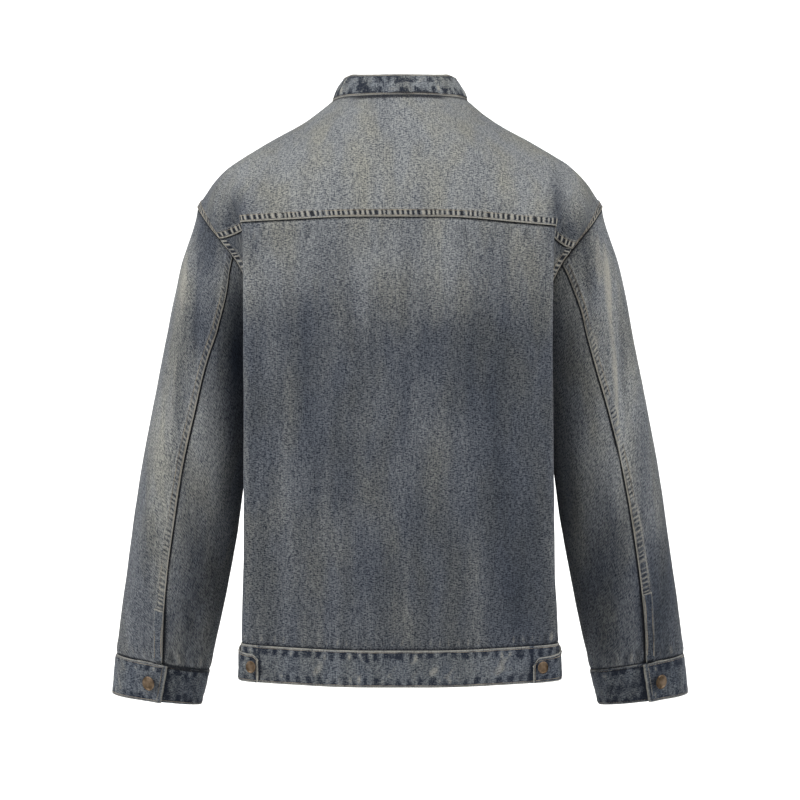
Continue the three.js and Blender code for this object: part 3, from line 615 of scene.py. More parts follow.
# One row of stitches along a line of points: a thin tube that dives under the cloth between stitches.
def stitchAlong(piece, point, out):
    lengths = distancesAlong(point)
    pitch = thread["stitch"] + thread["gap"]
    number = max(2, int((lengths[-1] - 1.0) / pitch))
    share = np.array([0.0, 0.12, 0.5, 0.88])
    height = np.array([-0.9, 0.2, 1.0, 0.2])
    at = 0.5 + (np.arange(number)[:, None] * pitch + share * thread["stitch"]).ravel()
    high = np.tile(height, number)
    at, high = np.append(at, at[-1] + 0.4), np.append(high, -0.9)
    centre = np.stack([np.interp(at, lengths, point[:, k]) for k in range(3)], -1)
    up = unit(np.stack([np.interp(at, lengths, out[:, k]) for k in range(3)], -1))
    ahead = unit(np.gradient(centre, axis=0))
    beside = unit(np.cross(ahead, up))
    radius = thread["thickness"] / 2
    middle = centre + up * (thread["proud"] * high)[:, None]
    threadRows.setdefault(piece, []).append((middle, up, beside, radius))


def makeThreads(piece):
    sides = thread["sides"]
    whole = bmesh.new()
    for middle, up, beside, radius in threadRows[piece.name]:
        bm = bmesh.new()
        bmesh.ops.create_grid(bm, x_segments=len(middle) - 1, y_segments=sides, size=1)
        for v in bm.verts:
            i = round((v.co.x + 1) / 2 * (len(middle) - 1))
            angle = math.pi * (v.co.y + 1)
            spot = middle[i] + radius * (math.cos(angle) * beside[i] + math.sin(angle) * up[i])
            v.co = Vector(spot * mm)
        bmesh.ops.remove_doubles(bm, verts=bm.verts, dist=1e-6)
        bmesh.ops.holes_fill(bm, edges=bm.edges, sides=sides)
        bmesh.ops.recalc_face_normals(bm, faces=bm.faces)
        row = bpy.data.meshes.new("row")
        bm.to_mesh(row)
        bm.free()
        whole.from_mesh(row)
        bpy.data.meshes.remove(row)
    name = "topstitch." + piece.name
    made = putInScene(name, finishMesh(name, whole))
    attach(made, "root")
    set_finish(made, piece["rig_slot"])
    return made


# Yoke

yoke = {
    "rowsAbove": 42, "middleColumns": 90, "cornerColumns": 46, "armholeColumns": 80,
    "allowance": 3.5, "flat": (0.56, 0.26),
}


def yokeColumns(side):
    cornerStep = float(armholeAt(yokeTurn(side))[0])
    toCorner = np.linspace(freeStep, cornerStep, yoke["cornerColumns"])[1:]
    s = np.concatenate([np.linspace(0, freeStep, yoke["middleColumns"]), toCorner])
    turns = np.linspace(yokeTurn(side), pattern["shoulderTurn"], yoke["armholeColumns"])[1:]
    armholeStep, armholeZ = armholeAt(turns)
    return np.concatenate([s, armholeStep]), np.concatenate([yokeSeamAt(side, s), armholeZ])


def makeYoke():
    print("yoke")
    left, right = yokeColumns(-1), yokeColumns(1)
    s = np.concatenate([-left[0][:0:-1], right[0]])
    low = np.concatenate([left[1][:0:-1], right[1]])
    high = necklineAt(np.abs(s))
    shares = sharesAlong(lambda t: bodyBase(s, lerp(low, high, t)), fellRows, yoke["rowsAbove"])
    z = lerp(low[:, None], high[:, None], shares)
    point, out = bodyPlace(np.repeat(s[:, None], z.shape[1], 1), z)
    t = distancesAlong(point[:, 0])
    d = np.concatenate([fellRows, np.full(yoke["rowsAbove"], noSeam)])
    height, mark = fell(t[:, None], d[None, :], 3)
    point = point + out * height[..., None]
    # painted shade along the neck below the collar: a dark painted shadow just under the collar's edge, and a broader
    # uneven band of painted shade, darker in most places and a little paler in a few
    fromNeck = distanceTo(point, point[:, -1:])
    offSeam = d[None, :] > 20
    shade = 0.6 + softNoise(t[:, None] / 14, 0.5, 24)
    mark = mark - 1.6 * (1 - smoothstep(fromNeck, 3.6, 5.2)) * offSeam
    mark = mark - 0.25 * (1 - smoothstep(fromNeck, 6, 16)) * shade * offSeam
    # its upper edge goes on between the two layers of the collar
    allowance = point[:, -1:] + np.array([0, 0, yoke["allowance"]])
    point = np.concatenate([point, allowance], 1)
    out, mark = (np.concatenate([v, v[:, -1:]], 1) for v in (out, mark))
    along, away = np.broadcast_arrays(t[:, None] + 370, np.append(d, noSeam)[None, :])
    point, out, mark, along, away = (np.swapaxes(v, 0, 1) for v in (point, out, mark, along, away))
    for line in stitchLines:
        row = int(np.argmin(np.abs(fellRows - line)))
        stitchAlong("yokeCloth", point[row], out[row])
    makeCloth(
        "yokeCloth", point, out, mark, pattern["wall"], 21, "yoke", "denim", yoke["flat"], "draped", 0.6,
        (along, away, 1.0)
    )


# Back and fronts

# Rows of a panel from the hem up, fanning out from the armhole: side edge step, height, and rank.
def sideRows(turns, pitRank, endRank, rowsBelow):
    hemZ = float(hemSeamAt(sideStep))
    share = np.linspace(0, 1, rowsBelow)
    belowZ = lerp(hemZ, pattern["pitZ"], share)[:-1]
    below = np.stack([np.full(len(belowZ), float(sideStep)), belowZ, pitRank * share[:-1]], -1)
    step, z = armholeAt(turns)
    rank = lerp(endRank, pitRank, np.abs(turns - turns[0]) / abs(turns[-1] - turns[0]))
    return np.concatenate([below, np.stack([step, z, rank], -1)[::-1]])


def rowHeight(rows, s, middle, upperSeam):
    edgeStep, edgeZ, rank = (rows[:, k][:, None] for k in range(3))
    atEdge = (edgeZ - hemSeamAt(edgeStep)) / (upperSeam(edgeStep) - hemSeamAt(edgeStep))
    share = (edgeStep - s) / (edgeStep - middle)
    up = lerp(atEdge, rank, 1 - (1 - share) ** 2)
    return lerp(hemSeamAt(s), upperSeam(s), up)


def armholeFell(edgeZ):
    under = np.clip((edgeZ - pattern["pitZ"]) / (pattern["tipZ"] - pattern["pitZ"]), 0, 1)
    return smoothstep(under, 0.12, 0.4)


# the groove that a neighbour's edge sinks into, d from the seam, with a painted shadow along it
def sunkEdge(d, depth=1.1, width=2.0):
    sink = 1 - smoothstep(d, 0.2, width)
    return -depth * sink, -1.0 * (1 - smoothstep(d, width * 0.8, width * 1.7))


# One more row past the first edge of a panel's grids, between the layers of the piece that it is sewn to.
def withAllowance(step, point, *others):
    grids = [np.concatenate([point[:1] + step, point])]
    return grids + [np.concatenate([v[:1], v]) for v in others]


back = {
    "rowsBelow": 108, "armholeRows": 54, "middleColumns": 75, "sideColumns": 30, "pitRank": 0.62,
    "hemPitch": 10.5, "hemGather": 0.8, "yokePitch": 19, "yokeGather": 0.6, "flat": (0.58, 0.5),
}


def makeBack():
    print("back")
    halves = []
    for side in (-1, 1):
        turns = np.linspace(yokeTurn(side), 180, back["armholeRows"])
        cornerStep = float(armholeAt(yokeTurn(side))[0])
        seam = lambda s: yokeSeamAt(side, np.minimum(s, cornerStep)) - pattern["seamGap"] / 2
        rows = sideRows(turns, back["pitRank"], 1, back["rowsBelow"])
        edge = rows[:, 0]
        path = lambda t: bodyBase(side * lerp(edge, freeStep, t), rows[:, 1])
        outer = lerp(edge[:, None], freeStep, sharesAlong(path, fellRows, back["sideColumns"]))
        inner = np.tile(np.linspace(0, freeStep, back["middleColumns"]), (len(rows), 1))
        s = np.concatenate([inner, outer[:, ::-1][:, 1:]], 1)
        z = rowHeight(rows, s, 0, seam)
        point, out = bodyPlace(side * s, z)
        d = np.concatenate([np.full(s.shape[1] - len(fellRows), noSeam), fellRows[::-1]])
        t = distancesAlong(point[:, -1])
        height, mark = fell(t[:, None], d[None, :], 31 + side)
        strength = np.where(rows[:, 1] > pattern["pitZ"], armholeFell(rows[:, 1]), 0)[:, None]
        fromYoke, fromHem = distanceTo(point, point[-1:]), distanceTo(point, point[:1])
        # grooves with painted shadows along the yoke's and the waistband's edges
        top, topMark = sunkEdge(fromYoke)
        low, lowMark = sunkEdge(fromHem)
        hemWave, hemWindow = puckers(point[..., 0], fromHem, 37, back["hemPitch"], 2.8, 8, 12)
        yokeWave, yokeWindow = puckers(point[..., 0], fromYoke, 38, back["yokePitch"], 4, 10, 26)
        gathers = back["hemGather"] * hemWave * hemWindow + back["yokeGather"] * yokeWave * yokeWindow
        point = point + out * (height * strength + top + low + gathers)[..., None]
        mark = mark * strength + topMark + lowMark + 0.62 * hemWave * hemWindow + 0.42 * yokeWave * yokeWindow
        for line in stitchLines:
            column = s.shape[1] - 1 - int(np.argmin(np.abs(fellRows - line)))
            fromRow = back["rowsBelow"] + 6
            stitchAlong("backCloth", point[fromRow:-2, column], out[fromRow:-2, column])
        along = np.broadcast_to(t[:, None] + 740 * side + 2000, s.shape)
        away = np.where(strength > 0.4, np.broadcast_to(d[None, :], s.shape), noSeam)
        halves.append((point, out, mark, along, away))
    point, out, mark, along, away = (np.concatenate([l[:, :0:-1], r], 1) for l, r in zip(*halves))
    intoBand = out[:1] - [0, 0, pattern["allowance"]]
    point, out, mark, along, away = withAllowance(intoBand, point, out, mark, along, away)
    makeCloth(
        "backCloth", point, out, mark, pattern["wall"], 33, "back", "denim", back["flat"], "hung",
        seam=(along, away, 0.8)
    )


front = {
    "rowsBelow": 104, "armholeRows": 52, "shoulderRows": 26, "columns": 56, "pitRank": 0.5, "shoulderRank": 0.76,
    "flat": (0.29, 0.69), "bandFlat": (0.04, 0.555), "bandPitch": 9,
}
bandColumns = [20, 17.6, 14, 8, 2, -4, -10, -15.6, -18]  # from the centre, across the button band


def frontGrid(side):
    turns = np.linspace(pattern["shoulderTurn"], -180, front["armholeRows"])
    rows = sideRows(turns, front["pitRank"], front["shoulderRank"], front["rowsBelow"])
    shoulderStep, shoulderZ = (float(v) for v in armholeAt(pattern["shoulderTurn"]))
    top = float(necklineAt(np.array(shoulderStep)))
    shares = sharesAlong(
        lambda t: bodyBase(np.array([shoulderStep]), lerp(shoulderZ, top, t)), np.array([0.0]), front["shoulderRows"]
    )[0][1:]
    ranks = lerp(front["shoulderRank"], 1, np.arange(1, front["shoulderRows"] + 1) / front["shoulderRows"])
    seam = np.stack([np.full(len(shares), shoulderStep), lerp(shoulderZ, top, shares), ranks], -1)
    rows = np.concatenate([rows, seam])
    upperSeam = lambda s: necklineAt(np.maximum(s, shoulderStep))
    heightAt = lambda s: rowHeight(rows, s, centreStep, upperSeam)
    bandZ = heightAt(np.full((len(rows), 1), float(centreStep)))[:, 0]
    free = stepAtX(bandZ, float(bandColumns[0]))
    edge = rows[:, 0]

    def path(t):
        s = lerp(edge, free, t)
        return bodyBase(side * s, heightAt(s[:, None])[:, 0])

    shares = sharesAlong(path, fellRows, front["columns"])
    outer = lerp(edge[:, None], free[:, None], shares)[:, :-1]
    inner = np.stack([stepAtX(bandZ, float(x)) for x in bandColumns], -1)
    s = np.concatenate([outer, inner], 1)
    z = heightAt(np.minimum(s, ringSteps - s))
    point, out = bodyPlace(side * s, z)
    if side < 0:
        fromCentre = point[..., 0] * side
        lift = lapRise * (1 - smoothstep(fromCentre, pattern["frontLap"] + 6, pattern["frontLapStart"]))
        point = point + out * lift[..., None]
    return rows, point, out


def makeFront(side):
    word = sideWords[side]
    print("front", word)
    rows, point, out = frontGrid(side)
    band = (point[:, -len(bandColumns):], out[:, -len(bandColumns):])
    d = np.concatenate([fellRows, np.full(point.shape[1] - len(fellRows), noSeam)])
    t = distancesAlong(point[:, 0])
    height, mark = fell(t[:, None], d[None, :], 41 + side)
    atArmhole = (rows[:, 1] > pattern["pitZ"]) & (rows[:, 0] < armholeAt(pattern["shoulderTurn"])[0] + 1e-6)
    strength = np.where(atArmhole, armholeFell(rows[:, 1]), 0)
    last = int(np.max(np.flatnonzero(atArmhole)))
    strength[last - 3:last + 1] *= np.array([1, 0.7, 0.35, 0.1])
    strength = strength[:, None]
    # a groove with a painted shadow along the waistband's edge
    low, lowMark = sunkEdge(distanceTo(point, point[:1]))
    point = point + out * (height * strength + low)[..., None]
    mark = mark * strength + lowMark
    name = "front" + word + "Cloth"
    for line in stitchLines:
        column = int(np.argmin(np.abs(fellRows - line)))
        fromRow = front["rowsBelow"] + 8
        stitchAlong(name, point[fromRow:last - 2, column], out[fromRow:last - 2, column])
    if side > 0:
        for line in (-15.6, 8):  # the under lap's own edge stitching
            column = point.shape[1] - len(bandColumns) + bandColumns.index(line)
            stitchAlong(name, point[2:-3, column], out[2:-3, column])
    node = "front_" + word.lower()
    along = np.broadcast_to(t[:, None] + 4000 + 500 * side, mark.shape)
    away = np.where(strength > 0.4, d[None, :], noSeam)
    intoBand = out[:1] - [0, 0, pattern["allowance"]]
    point, out, mark, along, away = withAllowance(intoBand, point, out, mark, along, away)
    makeCloth(
        name, point, out, mark, pattern["wall"], 43 + side, node, "denim", front["flat"], "hung",
        seam=(along, away, 0.8)
    )
    return band


def makeFrontBand(band):
    print("button band")
    point, out = band
    point = point + out * lapRise
    # its last row is cut away a little, which keeps it clear of the collar
    number = point.shape[0]
    up = np.arange(number) / (number - 1)
    cut = lerp(point[-9], point[-1], 0.45)
    share = smoothstep(up, up[-10], 1)[:, None, None]
    point = point + (cut - point[-1]) * share
    point = refineRows(point, 2)
    out = unit(refineRows(out, 2))
    d = distancesAlong(point, 1)
    t = distancesAlong(point[:, 4])[:, None]
    height, mark = bandShape(t, d, d[:, -1:], 51, pitch=front["bandPitch"])
    point = point + out * height[..., None]
    for column in (1, -2):
        stitchAlong("buttonBand", point[1:-1, column], out[1:-1, column])
    makeCloth(
        "buttonBand", point, out, mark, pattern["wall"], 53, "front_button_band", "denim_bands",
        front["bandFlat"], "folded", 0.2
    )


def refineRows(grid, times):
    number = grid.shape[0]
    at = np.linspace(0, number - 1, (number - 1) * times + 1)
    i = np.minimum(np.floor(at).astype(int), number - 2)
    t = (at - i)[:, None, None]
    return lerp(grid[i], grid[i + 1], t)


# A folded band: rounded at both edges, with a row of stitching near each and uneven pleats between the
# stitching and its middle, worn on their ridges and dark in their troughs.
def bandShape(t, d, width, seed, pitch=13.0, reach=9.0, deep=0.55, stitch=2.4, uneven=0.2, edge=1.7):
    height, mark = 0 * (t + d), 0 * (t + d)
    for k, away in enumerate((d, width - d)):
        length = reach * (1 + 0.4 * softNoise(t / pitch, 9.5 + k, seed))
        wave, window = puckers(t + 211 * k, away, seed + 7 * k, pitch, stitch, length, 3.0)
        wave = lerp(wave, 1.5 * softNoise(t / (0.42 * pitch), d / 8 + 3 * k, seed + 9), uneven)
        height = height + deep * wave * window - 0.3 * hump(away, stitch, 0.8)
        inRound = np.clip(away / 1.5, 0, 1)
        height = height - 0.9 * (1 - np.sqrt(inRound * (2 - inRound)))
        worn = 0.85 + 0.3 * softNoise(t / 9, 4.5 + k, seed)
        mark = mark + (1 - 0.2 * k) * window * pleatMarks(wave) + 1.05 * worn * (1 - smoothstep(away, 0.4 * edge, edge))
        mark = mark - 0.5 * hump(away - stitch, 0.4, 0.8)
    middle = smoothstep(np.minimum(d, width - d), 3, 8)
    slant = softNoise((t + 0.7 * d) / 4.5, (d - 0.7 * t) / 24, seed + 5)
    blotch = softNoise(t / 17, d / 12, seed + 3) + 0.5 * softNoise(t / 7, d / 6, seed + 4)
    height = height + 0.3 * slant * middle
    slantMark = 0.34 * smoothstep(slant, 0.2, 0.8) - 0.3 * smoothstep(-slant, 0.2, 0.8)
    return height, mark + middle * (slantMark + 0.3 * blotch)


# Collar

collar = {
    "height": 24, "sideRise": 3, "stand": 0.9, "columns": 310, "rows": 26, "flat": (0.034, 0.555),
    "pleats": {"pitch": 13, "reach": 9, "deep": 0.8, "stitch": 2.8, "uneven": 0.75, "edge": 2.2},
    "lean": table(["share", "lean"], [[0, 9], [0.55, 15], [1, 7]]),  # from the middle of the back to the front
}


def makeCollar():
    print("collar")
    lapStep = float(stepAtX(np.array(float(pattern["neckFrontZ"])), -pattern["frontLap"])) - centreStep
    end = centreStep + lapStep
    s = np.linspace(-end, end, collar["columns"])[None, :]
    level = np.linspace(0, 1, collar["rows"])[:, None]
    wrapped = np.minimum(np.abs(s), ringSteps - np.abs(s))
    sideRise = collar["sideRise"] * smoothstep(wrapped, 0.8, 3.2) * (1 - smoothstep(wrapped, 4.6, 7.5))
    base = bodyBase(s[0], necklineAt(np.abs(s[0])))[None]
    flat = unit(base * np.array([1, 1.1, 0]))
    inward = columnAt(collar["lean"], "lean", wrapped / centreStep, "share") * level ** 1.6
    lapped = smoothstep(np.abs(s), 6.7, centreStep - 1.2 * lapStep)
    lap = np.where(s < 0, (pattern["bandWall"] + lapClearance) * lapped, 0)
    out = unit(flat * np.array([1, 1, 0]) + np.stack([0 * inward, 0 * inward, 0.8 * inward / collar["height"]], -1))
    point = base + flat * (pattern["bandRise"] + lap - inward)[..., None]
    rise = collar["stand"] - 1.4 * (1 - level) + (collar["height"] + sideRise) * level
    point = point + np.stack([0 * inward, 0 * inward, rise + 0 * inward], -1)
    d = collar["height"] * level + 0 * inward
    t = distancesAlong(point[0])[None, :]
    height, mark = bandShape(t, d, float(collar["height"]), 61, **collar["pleats"])
    fromEnds = np.minimum(t, t[:, -1:] - t)
    mark = mark + 0.9 * (1 - smoothstep(fromEnds, 0.9, 2))
    point = point + out * height[..., None]
    last = collar["rows"] - 1
    inset = int(collar["pleats"]["stitch"] / collar["height"] * last)
    for row in (inset, last - inset):
        stitchAlong("collarBand", point[row, 2:-2], out[row, 2:-2])
    makeCloth(
        "collarBand", point, out, mark, pattern["bandWall"], 63, "collar", "denim_bands", collar["flat"], "folded",
        0.25, washed=-0.1
    )


# Waistband

tabLift = pattern["bandWall"] + pattern["seamGap"]
waistband = {
    "rows": 36, "backEnd": 2.7, "backColumns": 290, "backFlat": (0.044, 0.4),
    "backPleats": {"pitch": 12.5, "reach": 9.5, "deep": 0.6, "edge": 2.2},
    "frontPleats": {"pitch": 11.5, "reach": 8.5, "deep": 0.55, "edge": 2.2},
}
tabs = {
    -1: {"endStep": 1.68, "liftStep": 3.3, "endDrop": 8, "cutCorner": 7, "buttonStep": 1.75, "flat": (0.044, 0.42)},
    1: {"endStep": 1.56, "liftStep": 3.3, "endDrop": 11, "cutCorner": 12, "buttonStep": 1.66, "flat": (0.044, 0.43)},
}


def waistbandPlace(step, share, lift, drop=0.0):
    s = np.abs(step)
    z = hemSeamAt(s) - 0.2 - drop - (pattern["waistbandHeight"] - drop) * share
    point, out = bodyPlace(step + 0 * z, z)
    return point + out * (pattern["bandRise"] + lift + 0 * z)[..., None], out


def dressBand(point, out, seed, ends=(True, True), **style):
    d, t = distancesAlong(point), distancesAlong(point[0])[None, :]
    height, mark = bandShape(t, d, d[-1:], seed, **style)
    for isEnd, fromEnd in zip(ends, (t, t[:, -1:] - t)):
        if isEnd:
            mark = mark * smoothstep(fromEnd, 1, 4) + 1.1 * (1 - smoothstep(fromEnd, 1.2, 2.6))
            mark = mark - 0.5 * hump(fromEnd, 3.6, 0.9)
            height = height - 0.3 * hump(fromEnd, pattern["bandStitch"], 0.8)
    return point + out * height[..., None], mark


# a row of stitches near each long edge of a band, and one across its end if it has a free one
def stitchBand(name, point, out, freeEnd=True):
    d = distancesAlong(point[:, 0])[1:]
    inset = int(np.argmin(np.abs(d - pattern["bandStitch"]))) + 1
    for row in (inset, len(point) - 1 - inset):
        stitchAlong(name, point[row, 2:-2], out[row, 2:-2])
    if freeEnd:
        stitchAlong(name, point[3:-3, 3], out[3:-3, 3])


def makeBackWaistband():
    print("waistband, back")
    step = np.linspace(-waistband["backEnd"], waistband["backEnd"], waistband["backColumns"])[None, :]
    share = np.linspace(0, 1, waistband["rows"])[:, None]
    point, out = waistbandPlace(step + 0 * share, share + 0 * step, 0)
    point, mark = dressBand(point, out, 71, (False, False), **waistband["backPleats"])
    for side in (-1, 1):  # the shade beside the end of each tab
        mark = mark - 1.2 * hump(side * step - tabs[side]["endStep"], -0.012, 0.022)
    stitchBand("waistbandBack", point, out, False)
    makeCloth(
        "waistbandBack", point, out, mark, pattern["bandWall"], 73, "waistband_back", "denim_bands",
        waistband["backFlat"], "folded", 0.35, washed=0.35
    )


def makeFrontWaistband(side):
    word = sideWords[side]
    print("waistband,", word)
    tab = tabs[side]
    end = float(stepAtX(np.array(float(hemSeamAt(centreStep))), -pattern["frontLap"]))
    first = tab["endStep"]
    s = np.concatenate([
        np.linspace(first, first + 0.12, 18), np.linspace(first + 0.12, 3.4, 66)[1:], np.linspace(3.4, end, 200)[1:]
    ])[None, :]
    share = np.linspace(0, 1, waistband["rows"])[:, None]
    lapped = (tabLift + 0.3) * smoothstep(s, 6.9, 7.72) if side < 0 else 0 * s
    free = smoothstep(s, first, 2.9)
    corner = tab["cutCorner"] * (1 - smoothstep(s, first - 0.05, first + 0.09))
    drop = (tab["endDrop"] + corner) * (1 - free) + 2.5 * (1 - smoothstep(s, 2.7, 3.4))
    lift = tabLift * (1 - smoothstep(s, waistband["backEnd"] + 0.12, tab["liftStep"])) + lapped
    point, out = waistbandPlace(side * s + 0 * share, share + 0 * s, lift + 0 * share, drop + 0 * share)
    point, mark = dressBand(point, out, 75 + side, (True, True), **waistband["frontPleats"])
    name = "waistband" + word
    stitchBand(name, point, out)
    node = "waistband_" + word.lower()
    makeCloth(
        name, point, out, mark, pattern["bandWall"], 77 + side, node, "denim_bands", tab["flat"], "folded", 0.35,
        washed=0.2
    )


# Sleeves

# the sleeves' washed value makes them paler than the back: partly the cloth's own fade and partly painted light
sleeve = {
    "rows": 200, "outerColumns": 92, "underColumns": 46, "cuffTopZ": -653, "cuffTopTilt": 9.5, "capShare": 0.13,
    "armholeX": 190, "armholeInset": 1.1, "cuffPleatPitch": 15, "cuffPleat": 1.1, "washed": 0.34,
    "outerFlat": (0.38, 0.54), "underFlat": (0.145, 0.47),
}


def sleeveBase(side, turn, z):
    at = lambda name: columnAt(sleeveSections, name, z)
    angle = np.radians(turn)
    half, middle = (at("outerX") - at("innerX")) / 2, (at("outerX") + at("innerX")) / 2
    x = middle + half * np.cos(angle)
    return np.stack(np.broadcast_arrays(side * x, at("middleY") - at("halfDepth") * np.sin(angle), z), -1)


def sleevePoint(side, turn, share):
    armStep, armZ = armholeAt(turn)
    start = bodyPoint(side * armStep, armZ)
    endZ = sleeve["cuffTopZ"] + sleeve["cuffTopTilt"] * np.cos(np.radians(turn))
    z = lerp(start[..., 2], endZ, share)
    own = lambda a, b: sleeveBase(side, a, b)
    rise = foldRise(sleeveFolds, side, turn, z, sleeveTurnWorth)
    free = own(turn, z) + outward(own, turn, z, -side, 1) * rise[..., None]
    point = lerp(start, free, (1 - np.clip(1 - share / sleeve["capShare"], 0, 1) ** 2)[..., None])
    return np.concatenate([point[..., :2], z[..., None]], -1)


def sleevePlace(side, turn, share):
    surface = lambda a, b: sleevePoint(side, a, b)
    at = np.clip(share, 0.004, 0.996)
    return surface(turn, share), outward(surface, turn, at, side, 0.004)


# where a seam runs round the sleeve, its curve softened between the rows of the table
def sleeveSeamAt(name, share):
    steps = (-0.03, -0.015, 0, 0.015, 0.03)
    near = [columnAt(sleeveSeams, name, np.clip(share + step, 0, 1), "share") for step in steps]
    return sum(near) / len(near)


def sleevePanel(side, name, node, lastAdd, columns, felled, seed, flat):
    print(name)
    share = np.concatenate([np.linspace(0, 0.04, 12), np.linspace(0.04, 1, sleeve["rows"] - 11)[1:]])
    start = sleeveSeamAt("back" + sideWords[side], share)
    end = sleeveSeamAt("under", share) + lastAdd
    path = lambda t: sleevePoint(side, lerp(start, end, t), share)
    # rows for the felled band on the outer panel, and for the groove with its painted shadow beside it on the under one
    edgeRows = fellRows if felled else np.array([0, 0.4, 0.9, 1.5, 2.2, 3.2, 4.5])
    shares = sharesAlong(path, edgeRows, columns)
    turn = lerp(start[:, None], end[:, None], shares)
    along = np.broadcast_to(share[:, None], turn.shape)
    point, out = sleevePlace(side, turn, along)
    d = np.concatenate([edgeRows, np.full(columns, noSeam)])[None, :]
    t = distancesAlong(point[:, 0])[:, None]
    if felled:
        height, mark = fell(t, d, seed)
        starts = smoothstep(t, 0, 4)
        height, mark = height * starts, mark * starts
        for line in stitchLines:
            k = int(np.argmin(np.abs(fellRows - line)))
            stitchAlong(name, (point + out * height[..., None])[4:-2, k], out[4:-2, k])
    else:
        height, mark = sunkEdge(d + 0 * t)
    # it starts a little inside the armhole's edge
    fromTop, fromCuff = distanceTo(point, point[:1]), distanceTo(point, point[-1:])
    # a groove with a painted shadow below the armhole seam, and a broader uneven painted shade where the sleeve falls
    # away from it; another groove with a painted shadow along the cuff's edge
    sink, sinkMark = sunkEdge(fromTop, 0.5, 1.6)
    shade = 1 + 0.6 * softNoise(point[..., 0] / 16, fromTop / 20, seed + 2)
    sinkMark = sinkMark - 0.32 * (1 - smoothstep(fromTop, 4, 16)) * shade
    low, lowMark = sunkEdge(fromCuff, 0.6, 1.6)
    cuffWave, cuffWindow = puckers(distancesAlong(point, 1), fromCuff, seed + 3, sleeve["cuffPleatPitch"], 3, 9, 16)
    lowMark = lowMark + 0.5 * cuffWave * cuffWindow
    point = point + out * (height + sink + low + sleeve["cuffPleat"] * cuffWave * cuffWindow)[..., None]
    middle = np.array([side * sleeve["armholeX"], 0, (pattern["tipZ"] + pattern["pitZ"]) / 2])
    inward = unit(middle - point[:1]) * sleeve["armholeInset"] - np.array([0, 0, pattern["seamGap"]])
    point = point + inward * (1 - smoothstep(fromTop, 0, 3))[..., None]
    if not felled:  # the shade beside the strip above the cuff
        stripTop = cuffs[side]["stripTop"]
        besideStrip = smoothstep(along, stripTop - 0.03, stripTop + 0.03)
        mark = mark - besideStrip * hump(distanceTo(point, point[:, :1]), 0, 5)
    # its lower edge goes on inside the cuff, and the under panel's two edges inside the outer panel
    grids = [point, out, mark + sinkMark + lowMark, t + 600 * seed + 0 * d, d + 0 * t]
    allowance = pattern["allowance"]
    grids = [v[::-1] for v in withAllowance(0.5 * out[-1:] - [0, 0, allowance], *(v[::-1] for v in grids))]
    if not felled:
        for lower in (0.6, 1.9):  # how deep each edge dips under the outer panel
            grids = [np.swapaxes(v, 0, 1) for v in grids]
            step = unit(grids[0][:1] - grids[0][1:2]) * allowance - lower * grids[1][:1]
            grids = [np.swapaxes(v, 0, 1)[:, ::-1] for v in withAllowance(step, *grids)]
    point, out, mark, along, away = grids
    seam = (along, away, 0.42) if felled else None
    makeCloth(
        name, point, out, mark, pattern["wall"], seed + 1, node, "denim", flat, "hung", 0.8, seam,
        sleeveWashAndShade, sleeve["washed"]
    )


def makeSleeve(side):
    word = sideWords[side]
    node = "_" + word.lower()
    sleevePanel(
        side, "sleeveOuter" + word, "sleeve_outer" + node, -360, sleeve["outerColumns"], True, 81 + side,
        sleeve["outerFlat"]
    )
    sleevePanel(
        side, "sleeveUnder" + word, "sleeve_under" + node, 0, sleeve["underColumns"], False, 85 + side,
        sleeve["underFlat"]
    )


# Cuffs and the strips above them

cuffs = {
    -1: {"edge": 98, "button": 82, "stripTop": 0.868, "flat": (0.046, 0.35), "stripFlat": (0.012, 0.062)},
    1: {"edge": 86, "button": 70.5, "stripTop": 0.834, "flat": (0.046, 0.34), "stripFlat": (0.012, 0.081)},
}
# the cuffs' washed value makes them paler too: partly the cloth's own fade and partly painted light
cuff = {
    "underTurn": 60, "endZ": -697.5, "endTilt": 6.5, "rows": 36, "columns": 220, "washed": 0.34,
    "pleats": {"pitch": 12, "reach": 9, "deep": 0.6, "uneven": 0.45, "edge": 2.0},
    "stripWall": 1.2, "stripWidth": 10.5, "stripRows": 56, "stripColumns": 14, "stripWashed": 0.45,
}


def cuffPlace(side, turn, share, lift):
    cos = np.cos(np.radians(turn))
    top = sleeve["cuffTopZ"] + sleeve["cuffTopTilt"] * cos - pattern["seamGap"]
    z = lerp(top, cuff["endZ"] + cuff["endTilt"] * cos, share)
    own = lambda a, b: sleeveBase(side, a, b)
    point, out = own(turn, z), outward(own, turn, z, -side, 1)
    return point + out * (pattern["bandRise"] + lift)[..., None], out


def makeCuff(side):
    word = sideWords[side]
    print("cuff", word)
    first = cuffs[side]["edge"]
    turn = np.linspace(first, cuff["underTurn"] - 360, cuff["columns"])[None, :]
    share = np.linspace(0, 1, cuff["rows"])[:, None]
    flare = 2.6 * smoothstep(turn, first - 22, first) ** 1.5
    lift = (pattern["bandWall"] + lapClearance) * smoothstep(turn, 12, 50) + flare + 0 * share
    point, out = cuffPlace(side, turn + 0 * share, share + 0 * turn, lift)
    point, mark = dressBand(point, out, 91 + side, (True, False), **cuff["pleats"])
    # painted shadow on the underlap just beside the lap's edge, and a broader, fainter painted shade beyond it
    fromLap = turn + 360 - first
    mark = mark - 1.1 * hump(fromLap, 0, 5) - 0.35 * hump(fromLap, 30, 30)
    name = "cuff" + word
    stitchBand(name, point, out)
    node = "cuff_" + word.lower()
    makeCloth(
        name, point, out, mark, pattern["bandWall"], 93 + side, node, "denim_bands", cuffs[side]["flat"], "folded", 0.4,
        patches=sleeveWashAndShade, washed=cuff["washed"]
    )


